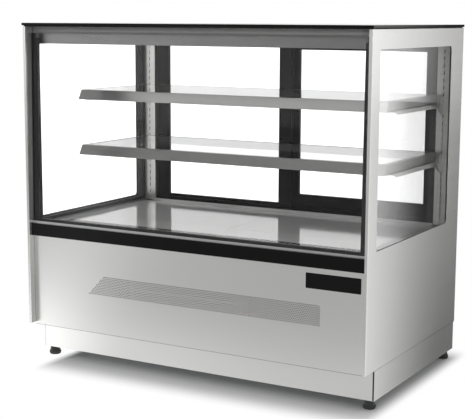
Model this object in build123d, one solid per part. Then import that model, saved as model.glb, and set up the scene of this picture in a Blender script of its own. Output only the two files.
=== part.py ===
from build123d import *
import math
import os

# Refrigerated display case with a square glass front, sliding rear doors and a cooling unit in the base.
# Millimetres. X runs to the right, Y to the back, Z up. The floor is z = 0 and x = y = 0 is mid plan.

# Overall size
case_w = 1200.0
case_d = 730.0
case_h = 1092.0

# Sheet metal and general clearances
sheet = 1.2
heavy = 2.0
slip = 0.3
run_fit = 0.05

# Glass top and the black tape that it lies on
top_t = 8.0
top_corner_r = 4.0
top_edge_c = 0.8
tape_t = 3.0
tape_in = 3.0
top_lip = 3.0

# Feet and plinth
foot_h = 30.0
foot_r = 18.0
foot_pad_h = 9.0
foot_neck_r = 14.0
foot_in = 25.0
foot_stud_r = 6.0
foot_stud_up = 44.0
plinth_h = 93.0
plinth_in_front = 73.0
plinth_in_side = 3.0
plinth_edge = 5.0
plinth_gap = 1.0
base_tube = 30.0
leg_w = 45.0
leg_gap = 4.0

# Side panels: folded trays with a window, and the glazing bonded behind their skin
side_t = 10.0
side_groove = 0.8
side_groove_deep = 0.6
side_edge_r = 2.5
win_front = 57.0
win_rear = 105.0
win_low = 16.0
win_top = 55.0
win_r_front = 4.0
win_r_rear = 14.0
gasket_lip = 1.0
gasket_t = 1.5
gasket_hold = 8.0

# Double glazing
pane_t = 4.0
pane_gap = 10.0
spacer_w = 6.5
side_seal_w = 5.0
side_glass_over_front = 6.0
side_glass_over_rear = 33.0
side_glass_over_top = 12.0
front_glass_back = 20.0
front_glass_lean = 10.0
front_glass_in = 2.0
front_seal_w = 15.0
front_seal_low = 8.0

# Carcass, front glass channel, front bar, front panel and blank plate
carcass_h = 329.0
front_rail_d = 28.0
channel_t = 2.0
channel_h = 8.0
bar_in = 10.0
bar_h = 40.0
bar_over = 1.0
panel_in = 22.0
panel_drop = 6.0
panel_tuck = 27.0
panel_slip = 0.5
panel_turn = 14.0
vent_up = 121.0
vent_h = 60.0
vent_in_right = 145.0
vent_in_left_low = 217.0
vent_in_left_high = 275.0
vent_hole_r = 1.7
vent_pitch = 6.0
plate_w = 172.0
plate_h = 45.0
plate_in = 18.0
plate_down = 18.0
plate_t = 1.5
plate_r = 2.0

# Light housing under the glass top
head_in = 52.0
head_d = 60.0
head_h = 54.0
head_lip = 14.0
light_w = 26.0
light_h = 28.0
light_in = 56.0
light_r = 8.0

# Deck and insulated tub
deck_down = 4.0
deck_side_in = 12.0
deck_fold = 10.8
deck_rear_gap = 10.0
deck_up = 10.0
deck_seam = 1.0
grille_back = 48.0
grille_d = 62.0
grille_in = 35.0
grille_hole_r = 2.6
grille_pitch = 9.0
deck_front_back = 114.0
tub_h = 97.2
tub_wall = 41.0
tub_bottom_t = 32.0
tub_front_gap = 5.0
tub_front_t = 45.0
tub_rear_t = 38.0
tub_rear_gap = 3.0
drain_in = 143.0
drain_back = 340.0
drain_r = 8.0
drain_down = 180.0

# Upper frame at the back and along the sides
post_w = 53.0
post_in_rear = 62.0
post_skin = 3.0
beam_h = 35.0
rail_h = 41.0

# Slotted uprights, shelves and brackets
upright_w = 44.0
upright_d = 8.0
upright_t = 1.5
slot_up = 30.0
slot_pitch = 22.9
slot_h = 12.0
slot_w = 3.6
slot_count = 24
shelf_slot_upper = 16
shelf_slot_lower = 8
shelf_under_slot = 6.4
shelf_in = 42.0
shelf_front_in = 234.0
shelf_rear_gap = 25.0
shelf_h = 31.0
shelf_slant = 17.6
shelf_front_w = 16.0
shelf_rail_w = 12.0
shelf_ledge = 8.0
shelf_glass_t = 6.0
shelf_glass_gap = 1.0
blade_t = 3.0
blade_ledge_t = 2.0
blade_ledge_in = 22.0
blade_front_in = 28.0
blade_gap = 0.2
blade_rise = 24.0
blade_drop = 34.0
hook_h = 8.0
hook_past = 3.0

# Sliding doors and their tracks
door_side_gap = 2.0
door_lap = 28.0
door_t = 14.0
door_gap = 2.0
door_track_t = 3.0
stile_w = 48.0
left_low_rail = 21.0
left_top_rail = 32.0
right_low_rail = 54.0
right_top_rail = 38.0
door_pane_t = 3.0
door_pane_in = 2.0
door_pane_hold = 8.0
pull_w = 16.0
pull_h = 120.0
pull_deep = 7.0
pull_up = 325.0
track_in = 3.0
track_rib_t = 3.0
track_rib_h = 11.0
track_top_h = 16.0
track_web_t = 2.0

# Rear service panel and its controls
rear_strip_in = 11.0
rear_panel_in = 9.0
rear_panel_up = 5.0
rear_panel_h = 318.0
rear_stile_w = 30.0
rear_strip_h = 27.0
louvre_w = 90.0
louvre_h = 5.0
louvre_pitch = 16.0
louvre_rows = 9
louvre_up = 67.0
louvre_hood = 5.0
louvre_step = 120.0
screw_r = 2.0
screw_head_r = 4.0
screw_head_h = 2.4
screw_gap = 0.1
screw_in = 12.0
control_in = 178.0
control_down = 38.0
control_w = 180.0
control_h = 46.0
control_t = 3.0
control_body = 22.0
control_rim = 4.0
button_r = 3.5
button_proud = 1.0
button_pitch = 11.0
rocker_w = 12.0
rocker_h = 20.0
rocker_tilt = 8.0
rocker_pin_r = 1.5
rocker_deep = 8.0
gland_in = 98.0
gland_up = 42.0
gland_r = 8.0
gland_bore_r = 4.5

# Cooling unit
fan_off = 220.0
fan_fore = 57.0
fan_r = 48.0
fan_hub_r = 18.0
fan_gap = 4.0
fan_motor_h = 13.0
fan_shaft_r = 3.0
fan_plate_down = 25.2
fan_plate_d = 127.0
coil_in = 124.0
coil_back = 108.0
coil_d = 150.0
coil_up = 6.0
coil_h = 50.0
coil_fins = 40
tube_r = 4.0
cond_w = 400.0
cond_off = -20.0
cond_gap = 15.0
cond_d = 40.0
cond_h = 200.0
cond_up = 8.0
cond_fins = 34
cond_fan_r = 84.0
cond_hub_r = 28.0
cond_shaft_r = 4.0
comp_in = 247.0
comp_y = 60.0
comp_r = 78.0
comp_h = 162.0
comp_pad_h = 12.0
comp_plate_t = 6.0
discharge_r = 4.0
suction_r = 5.0
tray_in = 97.0
tray_w = 180.0
tray_d = 210.0
tray_h = 36.0

# Planes and levels that follow from the sizes above
half_w = case_w / 2 - top_lip
in_x = half_w - side_t
front_y = -case_d / 2 + top_lip
rear_y = case_d / 2
tape_z0 = case_h - top_t - tape_t
base_z = foot_h + plinth_h
floor_z = base_z + heavy
carcass_z1 = base_z + carcass_h
win_y0 = front_y + win_front
win_y1 = rear_y - win_rear
win_z0 = carcass_z1 + win_low
win_z1 = tape_z0 - win_top
gasket_x0 = half_w - sheet - gasket_t
unit_t = 2 * pane_t + pane_gap
side_unit_x0 = gasket_x0 - unit_t
side_glass_front = win_y0 - side_glass_over_front
side_glass_rear = win_y1 + side_glass_over_rear
side_glass_top = win_z1 + side_glass_over_top
glass_y0 = front_y + front_glass_back
glass_z0 = carcass_z1 + channel_t
glass_x = in_x - front_glass_in
channel_y0 = glass_y0 - slip - channel_t
channel_z1 = carcass_z1 + channel_h
bar_y0 = front_y + bar_in
bar_z1 = carcass_z1 + bar_over
bar_z0 = bar_z1 - bar_h
panel_y0 = front_y + panel_in
panel_z0 = base_z - panel_drop
panel_z1 = bar_z0 + panel_tuck
front_rail_y = panel_y0 + front_rail_d
vent_z0 = base_z + vent_up
vent_z1 = vent_z0 + vent_h
vent_x0_low = -in_x + vent_in_left_low
vent_x0_high = -in_x + vent_in_left_high
vent_x1 = in_x - vent_in_right
plate_x1 = in_x - plate_in
plate_x0 = plate_x1 - plate_w
plate_z1 = bar_z0 - plate_down
plate_z0 = plate_z1 - plate_h
head_y0 = front_y + head_in
head_y1 = head_y0 + head_d
head_z0 = tape_z0 - head_h
plinth_x = half_w - plinth_in_side
plinth_y0 = front_y + plinth_in_front
foot_x = plinth_x - foot_in
foot_y0 = plinth_y0 + foot_in
foot_y1 = rear_y - foot_in
side_plate_x = in_x - heavy
post_x0 = in_x - post_w
post_y0 = rear_y - post_in_rear
post_y1 = rear_y - post_skin
beam_z0 = tape_z0 - beam_h
rail_z0 = tape_z0 - rail_h
upright_x = post_x0 + upright_w / 2
upright_y0 = post_y0 - upright_d
slot_z0 = carcass_z1 + slot_up
shelf_x = in_x - shelf_in
shelf_y0 = front_y + shelf_front_in
shelf_y1 = upright_y0 - shelf_rear_gap
shelf_upper_z = slot_z0 + shelf_slot_upper * slot_pitch - shelf_under_slot + shelf_h
shelf_lower_z = slot_z0 + shelf_slot_lower * slot_pitch - shelf_under_slot + shelf_h
deck_z = carcass_z1 - deck_down
deck_x = in_x - deck_side_in
deck_rear = upright_y0 - deck_rear_gap
grille_y0 = front_rail_y + grille_back
grille_y1 = grille_y0 + grille_d
grille_x = deck_x - grille_in
deck_split_y = grille_y1 + deck_front_back
rim_z1 = deck_z - deck_fold
tub_z0 = rim_z1 - tub_h
tub_floor_z = tub_z0 + tub_bottom_t
tub_y0 = panel_y0 + tub_front_gap
tub_y1 = post_y0 - tub_rear_gap
cavity_x = side_plate_x - tub_wall
cavity_y0 = tub_y0 + tub_front_t
cavity_y1 = tub_y1 - tub_rear_t
drain_x = -cavity_x + drain_in
drain_y = cavity_y0 + drain_back
track_y0 = post_y0 + track_in
door_y_left = track_y0 + door_track_t + door_gap
door_y_right = door_y_left + door_t + track_rib_t + 2 * (door_gap - 0.5)
track_y1 = door_y_right + door_t + door_gap + door_track_t
door_out_x = post_x0 - door_side_gap
door_w = door_out_x + door_lap / 2
door_z0 = carcass_z1 + door_track_t
door_z1 = beam_z0 - track_web_t - door_gap
pull_z = door_z0 + pull_up
track_top_z0 = beam_z0 - track_top_h
rear_strip_y = rear_y - rear_strip_in
rear_panel_y = rear_strip_y + heavy
rear_face_y = rear_panel_y + sheet
rear_panel_x = in_x - rear_panel_in
rear_panel_z0 = base_z + rear_panel_up
rear_panel_z1 = rear_panel_z0 + rear_panel_h
control_x = rear_panel_x - control_in
control_z = rear_panel_z1 - control_down
gland_x = -rear_panel_x + gland_in
gland_z = rear_panel_z0 + gland_up
fan_x = fan_off
fan_y = deck_split_y - fan_fore
fan_plate_z = rim_z1 - fan_plate_down
cond_x0 = cond_off - cond_w / 2
cond_x1 = cond_off + cond_w / 2
cond_y0 = panel_y0 + cond_gap
cond_z1 = floor_z + cond_h
comp_x = in_x - comp_in


def box(x0, x1, y0, y1, z0, z1):
    return Pos((x0 + x1) / 2, (y0 + y1) / 2, (z0 + z1) / 2) * Box(x1 - x0, y1 - y0, z1 - z0)


def both(shape):
    return [shape, mirror(shape, about=Plane.YZ)]


def join(shapes):
    body = shapes[0]
    return body.fuse(*shapes[1:]) if len(shapes) > 1 else body


def rod(x, y, z0, z1, r):
    return Pos(x, y, (z0 + z1) / 2) * Cylinder(r, z1 - z0)


def rod_y(x, z, y0, y1, r):
    return Pos(x, (y0 + y1) / 2, z) * Rot(90, 0, 0) * Cylinder(r, y1 - y0)


def prism_x(points, x0, x1):
    """A bar along X whose section is a list of (y, z) points."""
    face = make_face(Polyline(*[(x0, y, z) for y, z in points], close=True))
    return extrude(face, amount=x1 - x0, dir=(1, 0, 0))


def loop_yz(x, y0, y1, z0, z1, r_front, r_rear):
    """A closed upright loop in the plane of a side panel, with its own corner radii front and rear."""
    a, b = r_front, r_rear
    k = 1 - math.sqrt(0.5)
    p = lambda y, z: (x, y, z)
    parts = [
        Line(p(y0 + a, z0), p(y1 - b, z0)),
        ThreePointArc(p(y1 - b, z0), p(y1 - b * k, z0 + b * k), p(y1, z0 + b)),
        Line(p(y1, z0 + b), p(y1, z1 - b)),
        ThreePointArc(p(y1, z1 - b), p(y1 - b * k, z1 - b * k), p(y1 - b, z1)),
        Line(p(y1 - b, z1), p(y0 + a, z1)),
        ThreePointArc(p(y0 + a, z1), p(y0 + a * k, z1 - a * k), p(y0, z1 - a)),
        Line(p(y0, z1 - a), p(y0, z0 + a)),
        ThreePointArc(p(y0, z0 + a), p(y0 + a * k, z0 + a * k), p(y0 + a, z0)),
    ]
    return Wire(parts)


def window_block(grow, x0, x1):
    """The window of a side panel as a block from x0 to x1, larger all round by grow."""
    loop = loop_yz(
        x0,
        win_y0 - grow,
        win_y1 + grow,
        win_z0 - grow,
        win_z1 + grow,
        win_r_front + grow,
        win_r_rear + grow,
    )
    return extrude(Face(loop), amount=x1 - x0, dir=(1, 0, 0))


def pierced_sheet(corners, holes, normal, thick):
    """A flat sheet from its corner points and the closed wires of its holes."""
    outline = Wire(Polyline(*corners, close=True).edges())
    return extrude(Face(outline, holes), amount=thick, dir=normal)


def circle_wire(centre, normal, r):
    return Wire(Edge.make_circle(r, Plane(origin=centre, z_dir=normal)))


def slot_wire_xz(x0, x1, y, z0, z1):
    return Wire(Polyline((x0, y, z0), (x1, y, z0), (x1, y, z1), (x0, y, z1), close=True).edges())


def lean(z):
    """Front face of the front glass at height z."""
    return glass_y0 + front_glass_lean * (z - glass_z0) / (tape_z0 - glass_z0)


def lean_slab(d0, d1, x0, x1, z0, z1):
    """A slab that follows the leaning glass, from d0 to d1 behind its front face."""
    points = [
        (lean(z0) + d0, z0),
        (lean(z0) + d1, z0),
        (lean(z1) + d1, z1),
        (lean(z1) + d0, z1),
    ]
    return prism_x(points, x0, x1)


# Glass top


def top_glass():
    plate = box(-case_w / 2, case_w / 2, -rear_y, rear_y, case_h - top_t, case_h)
    plate = fillet(plate.edges().filter_by(Axis.Z), top_corner_r)
    rim = plate.faces().sort_by(Axis.Z)[-1].edges() + plate.faces().sort_by(Axis.Z)[0].edges()
    return chamfer(rim, top_edge_c)


def top_tape():
    z1 = tape_z0 + tape_t
    outer = box(-half_w + tape_in, half_w - tape_in, front_y + tape_in, rear_y - tape_in, tape_z0, z1)
    x = side_unit_x0 + tape_in
    return outer - box(-x, x, head_y0 + head_lip, post_y0 + 2 * tape_in, tape_z0 - 1, z1 + 1)


# Side panels and side glazing


def side_panel():
    skin_x = half_w - sheet
    tray = box(in_x, half_w, front_y, rear_y, base_z, tape_z0)
    tray = fillet(tray.edges().filter_by(Axis.Z).group_by(Axis.Y)[0].sort_by(Axis.X)[-1], side_edge_r)
    cy0, cy1 = front_y + sheet, rear_y - sheet
    hollow = box(in_x - 1, skin_x, cy0, cy1, base_z + sheet, tape_z0 - sheet)
    flange = box(in_x, in_x + sheet, front_y, side_glass_front - slip, base_z, tape_z0)
    body = join([tray - hollow, flange]) - window_block(0, in_x - 1, half_w + 1)
    gx = in_x + side_t / 2
    gz0, gz1 = base_z - 1, tape_z0 + 1
    g = side_groove / 2
    groove = box(gx - g, gx + g, front_y - 1, front_y + side_groove_deep, gz0, gz1)
    return body - groove


def side_gasket():
    """A flat black frame between the skin of the panel and the glass, on the right."""
    h = gasket_hold
    y0 = max(win_y0 - h, side_glass_front)
    pad = box(gasket_x0, half_w - sheet, y0, win_y1 + h, win_z0 - h, win_z1 + h)
    return pad - window_block(-gasket_lip, gasket_x0 - 1, half_w + 1)


def side_unit_box(x0, x1, inset):
    y0, y1 = side_glass_front + inset, side_glass_rear - inset
    return box(x0, x1, y0, y1, carcass_z1 + inset, side_glass_top - inset)


def side_panes():
    outer = side_unit_box(gasket_x0 - pane_t, gasket_x0, 0)
    inner = side_unit_box(side_unit_x0, side_unit_x0 + pane_t, 0)
    return [outer, inner]


def side_spacer():
    x0, x1 = side_unit_x0 + pane_t, gasket_x0 - pane_t
    ring = side_unit_box(x0, x1, side_seal_w)
    return ring - side_unit_box(x0 - 1, x1 + 1, side_seal_w + spacer_w)


def side_sealant():
    x0, x1 = side_unit_x0 + pane_t, gasket_x0 - pane_t
    return side_unit_box(x0, x1, 0) - side_unit_box(x0 - 1, x1 + 1, side_seal_w)


# Front glazing


def front_panes():
    outer = lean_slab(0, pane_t, -glass_x, glass_x, glass_z0, tape_z0)
    inner = lean_slab(unit_t - pane_t, unit_t, -glass_x, glass_x, glass_z0, tape_z0)
    return [outer, inner]


def front_ring(out_x, out_low, in_w, in_low):
    """A ring between the front panes, in_w narrower at the sides and top and in_low at the bottom."""
    x = glass_x - out_x
    z0, z1 = glass_z0 + out_low, tape_z0 - out_x
    ring = lean_slab(pane_t, unit_t - pane_t, -x, x, z0, z1)
    return ring - lean_slab(pane_t - 1, unit_t, -x + in_w, x - in_w, z0 + in_low, z1 - in_w)


def front_spacer():
    return front_ring(front_seal_w, front_seal_low, spacer_w, spacer_w)


def front_sealant():
    return front_ring(0, 0, front_seal_w, front_seal_low)


def corner_seal():
    """The bead beside the front glass and the wedge between it and the side glass, on the right."""
    bead = lean_slab(0, unit_t, glass_x, in_x, glass_z0, tape_z0)
    points = [
        (lean(glass_z0) + unit_t, glass_z0),
        (side_glass_front, glass_z0),
        (side_glass_front, side_glass_top),
        (lean(side_glass_top) + unit_t, side_glass_top),
    ]
    return [bead, prism_x(points, side_unit_x0 + pane_t, in_x)]


def glazing_spacers():
    return [front_spacer()] + both(side_spacer())


def glazing_sealant():
    beads = [part for seal in corner_seal() for part in both(seal)]
    return [front_sealant()] + both(side_sealant()) + beads


def front_channel():
    rear = glass_y0 + unit_t + 0.5
    side = in_x - deck_side_in
    base = box(-in_x, in_x, channel_y0, rear + channel_t, carcass_z1, glass_z0)
    front = box(-in_x, in_x, channel_y0, channel_y0 + channel_t, carcass_z1, channel_z1)
    back = box(-side, side, rear, rear + channel_t, carcass_z1, channel_z1)
    return join([base, front, back])


# Front bar, front panel and blank plate


def front_bar():
    face = box(-in_x, in_x, bar_y0, bar_y0 + heavy, bar_z0, bar_z1)
    face = fillet(face.edges().filter_by(Axis.X).group_by(Axis.Y)[0], heavy * 0.4)
    upper = box(-in_x, in_x, bar_y0 + heavy / 2, channel_y0, bar_z1 - heavy, bar_z1)
    lower = box(-in_x, in_x, bar_y0 + heavy / 2, panel_y0, bar_z0, bar_z0 + heavy)
    return join([face, upper, lower])


def vent_holes():
    """Centres of the fine staggered holes between the slanted left end and the upright right end."""
    row_h = vent_pitch * math.sqrt(3) / 2
    rows = int((vent_z1 - vent_z0) / row_h)
    centres = []
    for row in range(rows + 1):
        z = vent_z0 + row * row_h
        left = vent_x0_low + (vent_x0_high - vent_x0_low) * (z - vent_z0) / (vent_z1 - vent_z0)
        shift = vent_pitch / 2 if row % 2 else 0.0
        count = int((vent_x1 - shift - left) / vent_pitch)
        centres += [(vent_x1 - shift - i * vent_pitch, z) for i in range(count + 1)]
    return centres


def front_panel():
    x = in_x - panel_slip
    z1 = panel_z1
    corners = [(-x, panel_y0, panel_z0), (x, panel_y0, panel_z0), (x, panel_y0, z1), (-x, panel_y0, z1)]
    holes = [circle_wire((hx, panel_y0, hz), (0, 1, 0), vent_hole_r) for hx, hz in vent_holes()]
    face = pierced_sheet(corners, holes, (0, 1, 0), sheet)
    turned = box(-x, x, panel_y0, panel_y0 + panel_turn, panel_z0, panel_z0 + sheet)
    return join([face, turned])


def blank_plate():
    plate = box(plate_x0, plate_x1, panel_y0 - plate_t, panel_y0, plate_z0, plate_z1)
    plate = fillet(plate.edges().filter_by(Axis.Y), plate_r)
    return chamfer(plate.faces().sort_by(Axis.Y)[0].edges(), plate_t * 0.25)


# Light housing


def header():
    x = side_unit_x0
    y1 = head_y1
    face = box(-x, x, head_y0, head_y0 + sheet, head_z0, tape_z0)
    top = box(-x, x, head_y0, y1, tape_z0 - sheet, tape_z0)
    back = box(-x, x, y1 - sheet, y1, rail_z0, tape_z0)
    lip = box(-x, x, head_y0, head_y0 + head_lip, head_z0, head_z0 + sheet)
    body = join([face, top, back, lip])
    for end in both(box(x - slip, x + 1, head_y0 - 1, y1, head_z0 - 1, rail_z0)):
        body = body - end
    return body


def light_batten():
    z1 = tape_z0 - sheet
    x = side_unit_x0 - light_in
    y1 = head_y1 - head_lip
    bar = box(-x, x, y1 - light_w, y1, z1 - light_h, z1)
    low = bar.edges().filter_by(Axis.X).group_by(Axis.Z)[0]
    return fillet(low, light_r)


# Upper frame


def closed_tube(x0, x1, y0, y1, z0, z1):
    w = heavy
    return box(x0, x1, y0, y1, z0, z1) - box(x0 + w, x1 - w, y0 + w, y1 - w, z0 + w, z1 - w)


def upper_frame():
    """Two rear posts, the beam between them and a rail along each side, welded face to face."""
    posts = both(closed_tube(post_x0, in_x, post_y0, post_y1, carcass_z1, tape_z0))
    rails = both(closed_tube(side_unit_x0, in_x, head_y0, post_y0, rail_z0, tape_z0))
    beam = closed_tube(-post_x0, post_x0, post_y0, post_y1, beam_z0, tape_z0)
    return posts + rails + [beam]


# Sliding doors and their tracks


def track(z_web0, z_web1, z_rib0, z_rib1):
    x = post_x0
    middle = (door_y_left + door_t + door_y_right) / 2
    ribs = [track_y0, middle - track_rib_t / 2, track_y1 - track_rib_t]
    parts = [box(-x, x, track_y0, track_y1, z_web0, z_web1)]
    parts += [box(-x, x, y, y + track_rib_t, z_rib0, z_rib1) for y in ribs]
    return join(parts)


def track_bottom():
    return track(carcass_z1, door_z0, carcass_z1, door_z0 + track_rib_h)


def track_top():
    return track(beam_z0 - track_web_t, beam_z0, track_top_z0, beam_z0)


def door_frame(x0, y0, low_rail, top_rail, pull_x):
    """Two stiles and two rails, grooved for the panes, with a finger pull in the back of the outer stile."""
    x1, y1 = x0 + door_w, y0 + door_t
    gx0, gx1 = x0 + stile_w, x1 - stile_w
    gz0, gz1 = door_z0 + low_rail, door_z1 - top_rail
    px0, px1 = pull_x - pull_w / 2, pull_x + pull_w / 2
    pull = box(px0, px1, y1 - pull_deep, y1 + 1, pull_z - pull_h / 2, pull_z + pull_h / 2)
    stiles = [box(x0, gx0, y0, y1, door_z0, door_z1), box(gx1, x1, y0, y1, door_z0, door_z1)]
    rails = [box(gx0, gx1, y0, y1, door_z0, gz0), box(gx0, gx1, y0, y1, gz1, door_z1)]
    h = door_pane_hold
    grooves = [box(gx0 - h, gx1 + h, py, py + door_pane_t, gz0 - h, gz1 + h) for py in pane_depths(y0)]
    return [bar - grooves[0] - grooves[1] - pull for bar in stiles + rails]


def pane_depths(y0):
    return [y0 + door_pane_in, y0 + door_t - door_pane_in - door_pane_t]


def door_panes(x0, y0, low_rail, top_rail):
    h = door_pane_hold - slip
    gx0, gx1 = x0 + stile_w - h, x0 + door_w - stile_w + h
    gz0, gz1 = door_z0 + low_rail - door_pane_hold, door_z1 - top_rail + h
    return [box(gx0, gx1, py, py + door_pane_t, gz0, gz1) for py in pane_depths(y0)]


# Uprights, shelves and brackets


def slot_heights():
    return [slot_z0 + i * slot_pitch for i in range(slot_count)]


def upright():
    x0, x1 = post_x0, post_x0 + upright_w
    z0, z1 = carcass_z1, rail_z0 - slip
    outer = box(x0, x1, upright_y0, post_y0, z0, z1)
    inner = box(x0 + upright_t, x1 - upright_t, upright_y0 + upright_t, post_y0 + 1, z0 - 1, z1 + 1)
    body = outer - inner
    for z in slot_heights():
        hole = box(
            upright_x - slot_w / 2,
            upright_x + slot_w / 2,
            upright_y0 - 1,
            upright_y0 + upright_t + 1,
            z - slot_h / 2,
            z + slot_h / 2,
        )
        body = body - hole
    return body


def shelf_shape(top, inset):
    """Outer form of the shelf rails, or their hollow when inset by the sheet: a ring with a slanted front."""
    z0, z1 = top - shelf_h + inset, top - inset
    slope = shelf_slant / shelf_h
    shift = inset * math.sqrt(1 + slope * slope)
    y_top = shelf_y0 - slope * (top - z1) + shift
    y_low = shelf_y0 - slope * (top - z0) + shift
    back = shelf_y1 - inset
    x = shelf_x - inset
    solid = prism_x([(y_low, z0), (back, z0), (back, z1), (y_top, z1)], -x, x)
    hx = shelf_x - shelf_rail_w + inset
    hy0, hy1 = shelf_y0 + shelf_front_w - inset, shelf_y1 - shelf_rail_w + inset
    return solid - box(-hx, hx, hy0, hy1, z0 - 1, z1 + 1)


def shelf_frame(top):
    ring = shelf_shape(top, 0) - shelf_shape(top, sheet)
    x = shelf_x - shelf_rail_w
    y0, y1 = shelf_y0 + shelf_front_w, shelf_y1 - shelf_rail_w
    z1 = top - shelf_glass_t
    ledge = box(-x, x, y0, y1, z1 - sheet, z1)
    e = shelf_ledge
    ledge = ledge - box(-x + e, x - e, y0 + e, y1 - e, z1 - sheet - 1, z1 + 1)
    return join([ring, ledge])


def shelf_glass(top):
    g = shelf_glass_gap
    x = shelf_x - shelf_rail_w - g
    y0, y1 = shelf_y0 + shelf_front_w + g, shelf_y1 - shelf_rail_w - g
    pane = box(-x, x, y0, y1, top - shelf_glass_t, top)
    return chamfer(pane.faces().sort_by(Axis.Z)[-1].edges(), 0.5)


def bracket(slot):
    """A hooked arm on the right: an upright blade with an inward ledge that carries the shelf."""
    hook_z = slot_heights()[slot]
    zb = hook_z - shelf_under_slot
    y_face = upright_y0 - blade_gap
    y_front = shelf_y0 + blade_front_in
    points = [
        (y_face, zb + blade_rise),
        (y_face, zb - blade_drop * 0.8),
        (y_face - 14, zb - blade_drop),
        (y_face - 30, zb - blade_drop * 0.75),
        (y_face - 52, zb - blade_drop * 0.3),
        (y_front + 16, zb - blade_drop * 0.25),
        (y_front, zb - blade_ledge_t),
        (y_front, zb + blade_t),
        (y_face - 40, zb + blade_t),
        (y_face - 24, zb + blade_rise),
    ]
    x0, x1 = upright_x - blade_t / 2, upright_x + blade_t / 2
    ledge = box(shelf_x - blade_ledge_in, x0, y_front, y_face - 30, zb - blade_ledge_t, zb)
    parts = [prism_x(points, x0, x1), ledge]
    for z in (hook_z, hook_z - slot_pitch):
        y1 = upright_y0 + upright_t + hook_past
        parts.append(box(x0, x1, y_face - 1, y1, z - hook_h / 2, z + hook_h / 2))
    return join(parts)


def shelf_brackets():
    return both(bracket(shelf_slot_upper)) + both(bracket(shelf_slot_lower))


# Deck and tub


def deck_flanges(x0, x1, y0, y1):
    z0, z1 = rim_z1, deck_z
    outer = box(x0, x1, y0, y1, z0, z1)
    return outer - box(x0 + sheet, x1 - sheet, y0 + sheet, y1 - sheet, z0 - 1, z1 + 1)


def grille_holes():
    row_h = grille_pitch * math.sqrt(3) / 2
    rows = int((grille_y1 - grille_y0) / row_h)
    centres = []
    for row in range(rows + 1):
        shift = grille_pitch / 2 if row % 2 else 0.0
        count = int((2 * grille_x - shift) / grille_pitch)
        y = grille_y0 + row * row_h
        centres += [(-grille_x + shift + i * grille_pitch, y) for i in range(count + 1)]
    return centres


def deck_front():
    x = deck_x
    y0, y1 = front_rail_y + slip, deck_split_y - deck_seam / 2
    z = deck_z - sheet
    corners = [(-x, y0, z), (x, y0, z), (x, y1, z), (-x, y1, z)]
    holes = [circle_wire((hx, hy, z), (0, 0, 1), grille_hole_r) for hx, hy in grille_holes()]
    return join([pierced_sheet(corners, holes, (0, 0, 1), sheet), deck_flanges(-x, x, y0, y1)])


def deck_tray():
    x0, x1 = deck_seam / 2, deck_x
    y0, y1 = deck_split_y + deck_seam / 2, deck_rear
    plate = box(x0, x1, y0, y1, deck_z - sheet, deck_z)
    upstand = box(x0, post_x0 + sheet, y1, y1 + sheet, deck_z - sheet, deck_z + deck_up)
    flanges = deck_flanges(x0, x1, y0, y1)
    return join([plate, flanges, upstand])


def tub_block(x, y0, y1, z0, z1):
    return box(-x, x, y0, y1, z0, z1)


def tub_liner():
    t = sheet
    z_rim0 = rim_z1 - t
    shell = tub_block(cavity_x + t, cavity_y0 - t, cavity_y1 + t, tub_floor_z - t, rim_z1)
    rim = tub_block(side_plate_x, tub_y0, tub_y1, z_rim0, rim_z1)
    spout = rod(drain_x, drain_y, tub_z0 - drain_down, tub_floor_z, drain_r)
    body = join([shell, rim, spout]) - tub_block(cavity_x, cavity_y0, cavity_y1, tub_floor_z, rim_z1 + 1)
    return body - rod(drain_x, drain_y, tub_z0 - drain_down - 1, tub_floor_z + 1, drain_r - t)


def tub_foam():
    t = sheet
    block = tub_block(side_plate_x, tub_y0, tub_y1, tub_z0, rim_z1 - t)
    inner = tub_block(cavity_x + t, cavity_y0 - t, cavity_y1 + t, tub_floor_z - t, rim_z1 + 1)
    return block - inner - rod(drain_x, drain_y, tub_z0 - 1, tub_floor_z, drain_r + slip)


def finned_block(x0, x1, y0, y1, z0, z1, stand_z, fins, rows):
    """A coil: end plates, thin fins and tubes that run through all of them."""
    plates = [box(x, x + heavy, y0, y1, stand_z, z1) for x in (x0, x1 - heavy)]
    step = (x1 - x0 - 2 * heavy) / (fins + 1)
    for i in range(1, fins + 1):
        fx = x0 + heavy + i * step
        plates.append(box(fx - 0.5, fx + 0.5, y0 + 2, y1 - 2, z0, z1 - 2))
    tubes = []
    for row in range(rows):
        z = z0 + (row + 0.5) * (z1 - z0) / rows
        for y in (y0 + (y1 - y0) * 0.3, y0 + (y1 - y0) * 0.7):
            tubes.append(Pos((x0 + x1) / 2, y, z) * Rot(0, 90, 0) * Cylinder(tube_r, x1 - x0))
    return join(plates + tubes)


def evap_coil():
    x = cavity_x - coil_in
    y0 = deck_split_y + coil_back
    z0 = tub_floor_z + coil_up
    return finned_block(-x, x, y0, y0 + coil_d, z0, z0 + coil_h, tub_floor_z, coil_fins, 2)


def blades(count, r_hub, r_tip, thick, pitch_angle):
    """Fan blades round a Z axis at the origin."""
    out = []
    for i in range(count):
        length = r_tip - r_hub + 3
        blade = Box(length, r_tip * 0.62, 1.6)
        blade = Pos(r_hub - 3 + length / 2, 0, 0) * Rot(pitch_angle, 0, 0) * blade
        keep = Cylinder(r_tip, thick)
        out.append(Rot(0, 0, 360 / count * i) * (blade & keep))
    return out


def evap_rotor():
    """The middle of the blades lies just under the fan plate."""
    hub = Cylinder(fan_hub_r, 12)
    shaft = Pos(0, 0, -9) * Cylinder(fan_shaft_r, 10)
    rotor = join([hub, shaft] + blades(5, fan_hub_r, fan_r, 12, 24))
    return Pos(fan_x, fan_y, fan_plate_z - 9) * rotor


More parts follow.
